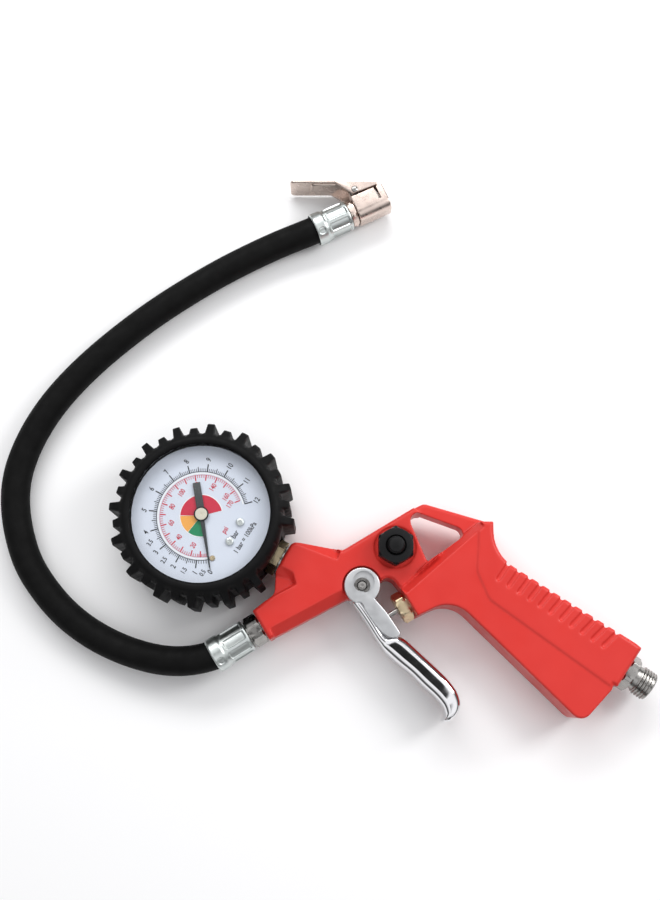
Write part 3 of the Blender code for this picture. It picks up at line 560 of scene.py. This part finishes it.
def build_gun():
    body = copy_of("gun_body", "gun_casting")
    body.data.materials.clear()
    body.data.materials.append(RED.material)
    softened(body, 0.42, 5)
    settle(body, hides=("gun_body",))


def build_bleed_valve():
    place, flats, top = (*BLEED, 0), 15.0, 30.0
    cap = turned([(7.0, 22.0), *nut_profile(flats, 22.3, top, 1.1), (4.6, top), (4.3, top - 0.4),
                  (4.3, top - 2.4)], 96, reach=hexagonal(flats))
    piece("bleed_cap", cap, PLASTIC, "black_plastic", "gun", place, angle=28,
          hides=("bleed_bonnet",))
    button = turned([(2.2, 10.3), (2.2, 11.2), (1.3, 11.2), (1.3, 27.0), (3.5, 27.0), (3.9, 27.5),
                     (3.9, 30.6), (3.6, 31.3), (3.0, 31.8), (1.8, 32.05), (0.6, 32.1)], 64)
    piece("bleed_push_button", button, PLASTIC, "black_plastic", "bleed_plunger", place, angle=28,
          hides=("bleed_button",))


def threaded(pitch, root, crest, low, high, chamfer):
    """The reach of a screw thread about Z between two heights, faded out at its start and turned
    down at its end. Its ridges have flat crests and roots."""
    def reach(angle, radius, height):
        if not low <= height <= high:
            return radius
        turn = (height / pitch - angle / (2 * math.pi)) % 1
        ridge = min(1.0, max(0.0, 1.5 - 4.2 * abs(turn - 0.5)))
        start = min(1.0, (height - low) / (0.6 * pitch))
        r = root + (crest - root) * ridge * start
        return min(r, crest - max(0.0, height - (high - chamfer)))
    return reach


def build_inlet():
    place, tilt = (*INLET, MID), lying(INLET_HEADING)
    low, high, rows = 6.9, 13.7, 60
    bore, inner_end, pitch, root, crest = 4.3, -11.0, 1.337, 5.75, 6.58
    profile = [(5.7, inner_end), (5.7, 4.2), (5.45, 4.5), (5.45, 6.6), (root, low)]
    profile += [(root, low + (high - low) * k / rows) for k in range(rows + 1)]
    profile += [(4.75, high + 0.02), (bore + 0.05, high - 0.4), (bore, inner_end)]
    stud = turned(profile, 120, closed=True, reach=threaded(pitch, root, crest, low, high, 0.8))
    piece("inlet_thread", stud, STEEL, "plain_steel", "gun", place, tilt, 30, ("inlet_nipple",))
    flats, face, end = 14.4, 0.35, 4.9
    nut = turned([(5.8, 0.3), *nut_profile(flats, face, end, 0.8), (5.6, end)], 96, closed=True,
                 reach=hexagonal(flats))
    piece("inlet_hexagon", nut, STEEL, "plain_steel", "gun", place, tilt, 28)


def build_valve():
    place, tilt = (*VALVE, MID), lying(VALVE_HEADING)
    flats, face, end = 12.4, 0.3, 5.3
    nut = turned([(1.7, -8.0), (4.9, -8.0), (4.9, face), *nut_profile(flats, face + 0.05, end, 0.8),
                  (2.3, end), (1.7, end - 0.5)], 96, closed=True, reach=hexagonal(flats, face))
    piece("brass_valve_nut", nut, BRASS, "turned_brass", "gun", place, tilt, 28, ("valve_nut",))
    stem = turned([(0.6, 16.2), (1.0, 16.1), (1.2, 15.8), (1.2, -17.6), (4.0, -17.6), (4.0, -19.2),
                   (1.5, -19.2), (1.5, -24.0)], 48)
    piece("valve_push_stem", stem, STEEL, "plain_steel", "valve_plunger", place, tilt, 30,
          ("valve_stem",))


# ---------------------------------------------------------------- trigger

# Left and right sides of the lever's bar, with half its height, from its upper end to the hook.
BAR = [
    ((-14.2, -13.7), (-11.0, -11.7), 8.6), ((-13.2, -15.3), (-10.1, -13.0), 8.8),
    ((-10.9, -18.3), (-7.8, -16.2), 9.0), ((-7.4, -23.5), (-4.3, -21.5), 9.1),
    ((-4.0, -29.0), (-1.2, -26.6), 9.2), ((-2.0, -31.9), (1.6, -28.8), 9.3),
    ((-0.5, -34.1), (5.6, -28.1), 9.6), ((2.0, -36.6), (8.9, -29.6), 9.8),
    ((5.9, -40.0), (12.4, -32.6), 9.8), ((10.9, -44.0), (17.3, -37.2), 9.8),
    ((15.7, -48.8), (22.1, -41.6), 9.8), ((20.6, -53.2), (26.7, -46.2), 9.8),
    ((23.5, -56.4), (29.9, -50.4), 9.6), ((24.7, -58.3), (31.3, -53.4), 9.3),
    ((25.4, -60.5), (31.9, -56.4), 9.1), ((25.3, -61.9), (31.2, -59.2), 8.9),
    ((24.8, -62.8), (29.9, -61.4), 8.5), ((24.3, -63.4), (28.1, -63.3), 7.8),
]
BAR_END = ((24.2, -64.0), (26.9, -64.1), 6.6)


def bar_ring(left, right, half):
    """A section of the bar between two points: its sides well rounded, its top slightly crowned.
    Where the bar is narrow it is nearly round."""
    left, right = Vector((*left, 0)), Vector((*right, 0))
    middle, across = (left + right) / 2, (right - left) / 2
    wide = across.length
    side = across / wide
    radius = wide * (0.97 if wide < 2.6 else 0.72)
    ring = []
    for quarter in range(4):
        for k in range(12):
            a = math.pi / 2 * (quarter + k / 11)
            x = (wide - radius) * (1 if quarter in (0, 3) else -1) + radius * math.cos(a)
            z = (half - radius) * (1 if quarter < 2 else -1) + radius * math.sin(a)
            ring.append(middle + side * x + Vector((0, 0, MID + z)))
    return ring


def build_trigger_bar():
    """The rounded bar that the fingers pull, which runs into a hook."""
    steps = 4
    rows = [BAR[0], *BAR, BAR[-1]]
    rings = []
    for before, here, there, after in zip(rows, rows[1:], rows[2:], rows[3:]):
        for t in (k / steps for k in range(steps)):
            left, right = (
                catmull_rom(*(Vector(row[side]) for row in (before, here, there, after)), t)
                for side in (0, 1)
            )
            rings.append(bar_ring(left, right, here[2] + (there[2] - here[2]) * t))
    rings += [bar_ring(*BAR[-1]), bar_ring(*BAR_END)]
    piece("trigger_bar", loft(rings), CHROME, "trigger_chrome", "trigger", angle=60,
          hides=("trigger",))


def build_trigger_cheeks():
    """The two flat cheeks on the pivot, each with a dish in its outer face."""
    half, gap = 9.8, 6.5  # half the height over both cheeks, and of the space between them
    eye, hole, dish = 7.9, 2.3, 4.7  # radii
    outline = [(-10.3, -13.4, 1.5), (-8.8, -17.0, 0), (-6.4, -20.6, 0), (-4.2, -23.6, 0),
               (-2.0, -26.2, 0), (0.4, -28.0, 1.5), (3.0, -28.9, 2), (6.2, -28.4, 1.8),
               (6.4, -26.6, 1.2), (5.0, -24.4, 0), (2.8, -21.0, 0), (0.3, -17.4, 0)]
    outline += [(*along(PIVOT, -46 + 296 * k / 32, eye), 0) for k in range(33)]
    dish_at = (PIVOT[0] + 0.7, PIVOT[1] + 1.7)
    below, above = -4, 30
    for name, low, high, floor, ceiling in (
        ("near", MID + gap, MID + half, MID + half - 1.5, above),
        ("far", MID - half, MID - gap, below, MID - half + 1.3),
    ):
        plate = piece(f"trigger_{name}_cheek", slab(outline, low, high, 0.55, 5), SATIN,
                      "trigger_chrome", "trigger")
        cutters = [upright_hole(PIVOT, hole, below, above, 48),
                   upright_hole(dish_at, dish, floor, ceiling, 72)]
        carved(plate, cutters, 32)


def build_pivot():
    place = (*PIVOT, 0)
    pin = turned([(3.8, 3.4), (3.8, 4.1), (3.6, 4.3), (2.1, 4.3), (2.1, 22.0), (1.7, 22.4),
                  (0.9, 22.5), (0.8, 22.1), (0.2, 22.0)], 48)
    piece("trigger_pivot_pin", pin, STEEL, "plain_steel", "gun", place, angle=30,
          hides=("trigger_pin",))
    clip = bmesh.new()
    arc_band(clip, -70, 235, 2.35, 3.5, 21.75, 0.4, 40)
    piece("trigger_e_clip", clip, STEEL, "plain_steel", "gun", place, angle=30,
          hides=("trigger_clip",))


# ---------------------------------------------------------------- gauge

def build_boot():
    """The rubber boot: a ring with 32 places for tread lugs, long and short in turn. The lugs
    beside the stem are left out, and the ring is cut open there."""
    place, tilt = (*GAUGE, 0), (0, 0, math.radians(STEM_HEADING))
    lugs, columns, edge_angle = 32, 18, 34
    groove, short, tall = 35.7, 38.6, 40.4  # radii
    lug_half, lug_flank = 3.75, 1.7  # degrees
    seam_from, seam_flank, seam_depth = 4.6, 0.8, 0.45  # degrees, and millimetres
    # Radius, height, and how much of a lug's rise is added to the radius.
    profile = [(22.0, 0.0, 0), (33.2, 0.0, 0), (34.4, 0.5, 0.1), (groove, 2.0, 0.6)]
    profile += [(groove, z, 1) for z in (4.2, 10, 18, 26, 30.2)]
    profile += [(groove, 31.6, 0.86), (35.6, 32.6, 0.55), (35.3, 33.5, 0.25), (34.9, 34.4, 0.06),
                (34.2, 35.3, 0), (33.3, 36.1, 0), (32.2, 36.5, 0), (31.2, 36.4, 0), (30.5, 36.0, 0),
                (30.1, 35.3, 0), (30.2, 34.9, 0), (33.2, 34.95, 0), (33.2, 1.9, 0), (22.0, 1.9, 0)]
    rings = []
    for column in range(lugs * columns):
        lug, step = divmod(column, columns)
        off = ((step + 0.5) / columns - 0.5) * 360 / lugs
        height = 0.0 if lug in (0, 1, lugs - 1) else (short if lug % 2 else tall) - groove
        rise = smooth_step((lug_half - abs(off)) / lug_flank) * height
        seam = seam_depth * smooth_step((abs(off) - seam_from) / seam_flank)
        out = heading(360 * lug / lugs + off)
        ring = []
        for radius, z, share in profile:
            r = radius + rise * share - (seam if 0 < share < 0.6 else 0)
            ring.append((out.x * r, out.y * r, z))
        rings.append(ring)
    boot = piece("rubber_boot", loft(rings, closed=True), RUBBER, "boot_rubber", "gun", place, tilt,
                 edge_angle, ("gauge_boot",))
    gap = box((31.5, -8.6, 3.5), (45.0, 8.6, 24.5))
    gap.transform(posed(place, tilt))
    carved(boot, [gap], edge_angle)


PSI_PER_BAR = 14.504
FULL_SCALE = 12
TEXT_HEADING = 57.8
PRINT_THICK = 0.05


def bar_heading(bar):
    """The pointer's heading at a pressure: the first bar is drawn shorter than the others."""
    return ZERO_HEADING - (15.0 * bar if bar < 1 else 15.0 + 22.7 * (bar - 1))


def tick(mesh, degrees, inner, outer, wide, z):
    """Adds a mark across a scale."""
    out, side = heading(degrees), heading(degrees + 90) * wide / 2
    corners = (out * inner - side, out * outer - side, out * outer + side, out * inner + side)
    loft([[corner + Vector((0, 0, h)) for corner in corners] for h in (z, z + PRINT_THICK)],
         mesh=mesh)


def letters(mesh, text, place, size, squeeze=0.78):
    """Adds a text in Blender's own font, its middle at a place on the dial."""
    curve = bpy.data.curves.new("letters", "FONT")
    curve.body, curve.size = text, size
    curve.align_x, curve.align_y = "CENTER", "CENTER"
    curve.extrude, curve.resolution_u, curve.offset = PRINT_THICK / 2, 3, 0.045
    helper = new_object("letters", curve)
    graph = bpy.context.evaluated_depsgraph_get()
    data = bpy.data.meshes.new_from_object(helper.evaluated_get(graph))
    tilt = (0, 0, math.radians(TEXT_HEADING))
    data.transform(posed((*place, DIAL_Z + 0.06), tilt) @ Matrix.Diagonal((squeeze, 1, 1, 1)))
    mesh.from_mesh(data)
    bpy.data.objects.remove(helper)
    bpy.data.curves.remove(curve)
    bpy.data.meshes.remove(data)


def print_bar_scale(black, z):
    for tenth in range(FULL_SCALE * 10 + 1):
        bar = tenth / 10
        if bar < 1 and tenth % 2:
            continue
        if tenth % 10 == 0:
            reach, wide = 22.9, 0.5
        elif tenth % 5 == 0:
            reach, wide = 21.6, 0.34
        else:
            reach, wide = 20.9, 0.25
        tick(black, bar_heading(bar), 19.45, reach, wide, z)
    arc_band(black, bar_heading(0), bar_heading(FULL_SCALE), 19.35, 19.6, z)
    halves = [k / 2 for k in range(8)]
    for bar in halves + list(range(4, FULL_SCALE + 1)):
        label = f"{bar:g}"
        letters(black, label, along((0, 0), bar_heading(bar), 24.9), 3.4 if len(label) < 3 else 2.9)


def print_psi_scale(crimson, z):
    last = 170
    for psi in range(0, last + 2, 2):
        inner, wide = (16.7, 0.24) if psi % 10 else (15.5, 0.5)
        tick(crimson, bar_heading(psi / PSI_PER_BAR), inner, 18.0, wide, z)
    arc_band(crimson, bar_heading(0), bar_heading(last / PSI_PER_BAR), 17.95, 18.1, z)
    for psi in (20, 40, 60, 80, 100, 120, 140, 160, last):
        spot = along((0, 0), bar_heading(psi / PSI_PER_BAR), 13.3)
        letters(crimson, str(psi), spot, 3.2, 0.72)


def build_dial_print():
    """The dial's print, as flat solids that lie just above the plate. Its middle is a little off
    the gauge's."""
    z = DIAL_Z + 0.03
    black, crimson, white, red, orange, green = (bmesh.new() for _ in range(6))
    print_bar_scale(black, z)
    print_psi_scale(crimson, z)
    letters(crimson, "psi", (10.4, -6.3), 3.3)
    letters(black, "bar", (14.8, -8.2), 3.4)
    letters(black, "1 bar = 100kPa", (19.2, -9.6), 3.1, 0.82)
    arc_band(white, bar_heading(0), bar_heading(FULL_SCALE), 18.5, 19.1, z)
    arc_band(white, 13.0, 279.0, 0, 9.5, DIAL_Z + 0.02)
    for zone, first, last in ((red, 14.0, 179.3), (orange, 180.7, 231.4), (green, 232.6, 278.0)):
        arc_band(zone, first, last, 0, 9.1, DIAL_Z + 0.08)
    place = (GAUGE[0] - 0.1, GAUGE[1] - 0.5, 0)
    for name, mesh, look in (("dial_black", black, INK), ("dial_crimson", crimson, CRIMSON),
                             ("dial_white", white, WHITE), ("zone_crimson", red, CRIMSON),
                             ("zone_orange", orange, ORANGE), ("zone_green", green, GREEN)):
        piece(name, mesh, look, "dial_print", "gun", place)


def build_pointer():
    place, tilt = (*GAUGE, 0), (0, 0, math.radians(ZERO_HEADING))
    low, high = DIAL_Z + 0.7, DIAL_Z + 1.05
    tip, waist, tail, half = 24.6, 3.0, -14.2, 1.65
    needle = [(tip, -0.16, 0), (tip, 0.16, 0), (waist, 0.95, 0), (0, 2.5, 2), (-waist, half, 0),
              (tail, half, 0.1), (tail, -half, 0.1), (-waist, -half, 0), (0, -2.5, 2),
              (waist, -0.95, 0)]
    blade = slab(needle, low, high, 0.06, 3, 2)
    piece("gauge_needle", blade, POINTER, "black_plastic", "pointer_shaft", place, tilt, 30,
          ("pointer",))
    ring = [(1.0, 0.1), (3.1, 0.1), (3.2, 0.25), (3.2, 0.6), (2.95, 0.75), (2.7, 0.75), (2.7, 0.6),
            (1.0, 0.6)]
    cap = [(2.62, 0.62), (2.62, 0.9), (2.4, 1.05), (0.5, 1.05), (0.36, 0.9), (0.1, 0.9)]
    place = (*GAUGE, high)
    piece("needle_hub_ring", turned(ring, 72, closed=True), PLASTIC, "black_plastic",
          "pointer_shaft", place, tilt, 30, ("pointer_hub",))
    piece("needle_hub_cap", turned(cap, 60), CREAM, "black_plastic", "pointer_shaft", place, tilt,
          30)


def build_gauge_fittings():
    """The heads of the dial's two screws, and the zero stop."""
    base = DIAL_Z + 0.3
    head = [(0.8, 26.4), (0.8, base), (1.75, base), (1.8, base + 0.3), (1.6, base + 0.75),
            (1.1, base + 1.0), (0.75, base + 1.02), (0.6, base + 0.8), (0.1, base + 0.8)]
    for number, side in ((1, 1), (2, -1)):
        spot = (*along(GAUGE, STEM_HEADING, 16.5, 4.75 * side), 0)
        piece(f"dial_screw_head_{number}", turned(head, 48), ZINC, "zinc_plate", "gun", spot,
              angle=35, hides=(f"dial_screw_{number}",))
    spot = (*along(GAUGE, ZERO_HEADING + 4.8, 19.7), 0)
    pin = [(0.5, 28.0), (0.5, DIAL_Z + 0.1), (1.15, DIAL_Z + 0.1), (1.2, DIAL_Z + 0.4),
           (1.0, DIAL_Z + 0.6), (0.1, DIAL_Z + 0.62)]
    piece("zero_stop", turned(pin, 40), BRASS, "plain_steel", "gun", spot, angle=35,
          hides=("stop_pin",))


# ---------------------------------------------------------------- ferrules and nipple

def ferrule_reach(angle, radius, height):
    """Eight panels pressed into the part over the fitting, and a crimp mark in the flared ring."""
    panels, first, last, depth, flank = 8, 0.9, 11.4, 0.7, 0.7
    mark_height, mark_angle, mark_depth = 15.4, math.radians(147), 0.75
    if radius < 7.0:
        return radius
    if height > 12.5:
        away = math.hypot((height - mark_height) / 1.5, (angle - mark_angle) * radius / 1.6)
        return radius - mark_depth * smooth_step((1.25 - away) / 0.5)
    off = abs((angle * panels / (2 * math.pi) + 0.35) % 1 - 0.5) * 2
    bow = 1.6 * off ** 4
    ends = (smooth_step((height - first - bow) / flank)
            * smooth_step((last - height - bow) / flank))
    return radius - depth * ends * smooth_step((0.8 - off) / 0.16)


def build_ferrule(name, place, tilt, node):
    profile = [(4.0, 0.0), (6.5, 0.0), (7.05, 0.25)] + [(7.2, 0.6 + 0.2 * k) for k in range(59)]
    profile += [(7.45, 12.6), (7.72, 13.1)] + [(7.8, 13.4 + 0.3 * k) for k in range(14)]
    profile += [(7.65, 17.75), (7.4, 18.0), (7.25, 17.8), (7.25, 13.8), (4.0, 13.8)]
    ferrule = turned(profile, 240, closed=True, reach=ferrule_reach)
    return piece(name, ferrule, ZINC, "zinc_plate", "gun", place, tilt, 40, (node,))


def build_hose_nipple():
    """The hexagonal nipple at the gun's outlet, and the ferrule that holds the hose on it."""
    tilt = lying(OUTLET_HEADING)
    start = along(OUTLET, OUTLET_HEADING, 7.0)
    build_ferrule("gun_end_ferrule", (*start, MID), tilt, "gun_ferrule")
    bore, flats, face, end = 2.4, 12.6, 0.35, 6.2
    profile = [(bore, -8.0), (4.9, -8.0), (4.9, 0.3), *nut_profile(flats, face, end, 0.6),
               (5.9, 6.3), (5.9, 6.6), (3.6, 6.6), (3.6, 22.0), (bore, 22.0)]
    nipple = turned(profile, 96, closed=True, reach=hexagonal(flats, face - 0.03, end + 0.05))
    piece("hose_nipple_hex", nipple, STEEL, "plain_steel", "gun", (*OUTLET, MID), tilt, 28,
          ("hose_nipple",))


# ---------------------------------------------------------------- chuck

LEVER_FACE, SHEET = 185.4, 1.2
RIVET = along(CHUCK, CHUCK_HEADING, 6.9, 7.9)


def upright_bar(points, radius, sides=12):
    """A round bar through points that share one Y."""
    side = Vector((0, radius, 0))
    turns = [2 * math.pi * k / sides for k in range(sides)]
    rings = []
    for before, here, after in zip([points[0], *points], points, [*points[1:], points[-1]]):
        up = (after - before).normalized().cross(side)
        rings.append([here + side * math.cos(a) + up * math.sin(a) for a in turns])
    return loft(rings)


def build_clip_lever():
    """A pressed channel: a web on edge with a raised rib, and a cheek on each side of the body."""
    def pressed(name, mesh, **more):
        return piece(name, mesh, NICKEL, "nickel_plate", "clip_lever", **more)

    web = slab([(-43.0, 1.0, 2.2), (-1.6, 1.0, 0.4), (-1.6, 16.0, 0.6), (-43.0, 16.0, 2.2)],
               -LEVER_FACE - SHEET, -LEVER_FACE, 0.45)
    pieces = [pressed("lever_web", web, tilt=(math.pi / 2, 0, 0), hides=("chuck_lever",))]
    bend, radius = (-30.6, 12.0), 2.0
    rib = [(-33.4, 5.4), (-33.0, 9.0), (-32.6, 12.0)]
    for k in range(1, 7):
        a = math.pi * (1 - k / 12)
        rib.append((bend[0] + radius * math.cos(a), bend[1] + radius * math.sin(a)))
    rib += [(-26.0, 13.9), (-21.5, 13.7)]
    ridge = upright_bar([Vector((x, LEVER_FACE, z)) for x, z in rib], 0.85)
    pieces.append(pressed("lever_rib", ridge, angle=50))
    near = [(-22.2, 186.3, 0), (-20.9, 185.1, 0), (-13.2, 179.8, 1.3), (-1.6, 184.7, 0.8),
            (-1.4, 186.3, 0)]
    far = [(-24.2, 186.3, 0), (-23.0, 185.1, 0), (-14.4, 179.9, 1.5), (-1.8, 184.8, 0.6),
           (-1.8, 186.3, 0)]
    for name, outline, low, high in (("near", near, 14.9, 16.2), ("far", far, 1.0, 2.1)):
        cheek = pressed(f"lever_{name}_cheek", slab(outline, low, high, 0.25, 5, 3))
        pieces.append(carved(cheek, [upright_hole(RIVET, 1.25, -2, 20)], 40))
    return pieces


def build_chuck_body(place, tilt):
    """The casting with its ear for the rivet, and the hexagonal tail."""
    edge_angle = 38
    section = [(6.8, 5.8, 0.8), (-6.8, 5.8, 0.8), (-6.8, -6.5, 4.6), (6.8, -6.5, 4.6)]
    casting = piece("chuck_casing", slab(section, 3.6, 20.0, 0.7, 12, 5), NICKEL, "nickel_plate",
                    "gun", place, tilt, edge_angle, ("chuck_body",))
    tail_bore, air_way = [(4.7, 3.0), (4.7, 9.4)], [(2.5, 3.0), (2.5, 19.0)]
    mouth = [(4.3, 12.0), (4.3, 19.2), (5.0, 20.1), (5.0, 21.0)]
    jaw_slit = box((-9, -1.0, 15.5), (9, 8, 16.9))
    cutters = [turned(tail_bore, 64), turned(air_way, 40), turned(mouth, 64), jaw_slit]
    for mesh in cutters:
        mesh.transform(posed(place, tilt))
    carved(casting, cutters, edge_angle)
    outline = [(2.6, 10.1, 1.2), (-3.0, 10.1, 1.2), (-3.0, 5.4, 0), (2.6, 5.4, 0)]
    ear = piece("pin_ear", slab(outline, 4.5, 9.3, 0.3), NICKEL, "nickel_plate", "gun", place, tilt,
                edge_angle)
    carved(ear, [upright_hole(RIVET, 1.3, -3, 20)], edge_angle)
    bore, flats, face, end = 2.2, 12.0, 0.3, 3.3
    profile = [(bore, -15.0), (3.4, -15.0), (3.6, -14.6), (3.6, 0.2),
               *nut_profile(flats, face, end, 1.0), (4.3, end + 0.05), (4.3, 9.0), (bore, 9.0)]
    tail = turned(profile, 96, closed=True, reach=hexagonal(flats, face - 0.05, end + 0.02))
    tail = piece("chuck_hex_tail", tail, NICKEL, "nickel_plate", "gun", place, tilt, 28,
                 ("chuck_tail",))
    return [casting, ear, tail]


def build_chuck():
    """Everything at the hose's far end. Returns all of its pieces."""
    place, tilt = (*CHUCK, CHUCK_Z), lying(CHUCK_HEADING)
    pieces = build_clip_lever() + build_chuck_body(place, tilt)
    rivet = turned([(1.5, 0.2), (1.5, 0.75), (0.95, 0.75), (0.95, 16.3), (1.55, 16.3),
                    (1.5, 16.55), (1.2, 16.8), (0.7, 16.92), (0.2, 16.95)], 40)
    pieces.append(piece("lever_rivet", rivet, STEEL, "nickel_plate", "gun", (*RIVET, 0), angle=32,
                        hides=("chuck_pin",)))
    back = lying(CHUCK_HEADING + 180)
    pieces.append(build_ferrule("chuck_end_ferrule", place, back, "chuck_ferrule"))
    half, bottom, top, throat = 5.0, -0.7, 5.2, 3.7
    arc = [math.pi * (1 - k / 16) for k in range(17)]
    jaw = [(-half, top, 0.5), (-half, bottom, 0)]
    jaw += [(throat * math.cos(a), throat * math.sin(a) + bottom, 0) for a in arc]
    jaw += [(half, bottom, 0), (half, top, 0.5)]
    pieces.append(piece("jaw_plate", slab(jaw, 15.95, 16.55, 0.1, 4, 2), STEEL, "plain_steel",
                        "jaw", place, tilt, 30, ("chuck_jaw",)))
    return pieces + [frame["nodes"][n] for n in ("chuck_spring", "chuck_seal", "chuck_depressor")]


build_camera()
build_stage()
build_gun()
build_bleed_valve()
build_inlet()
build_valve()
build_trigger_bar()
build_trigger_cheeks()
build_pivot()
build_boot()
build_dial_print()
build_pointer()
build_gauge_fittings()
build_hose_nipple()
build_hose(build_chuck())
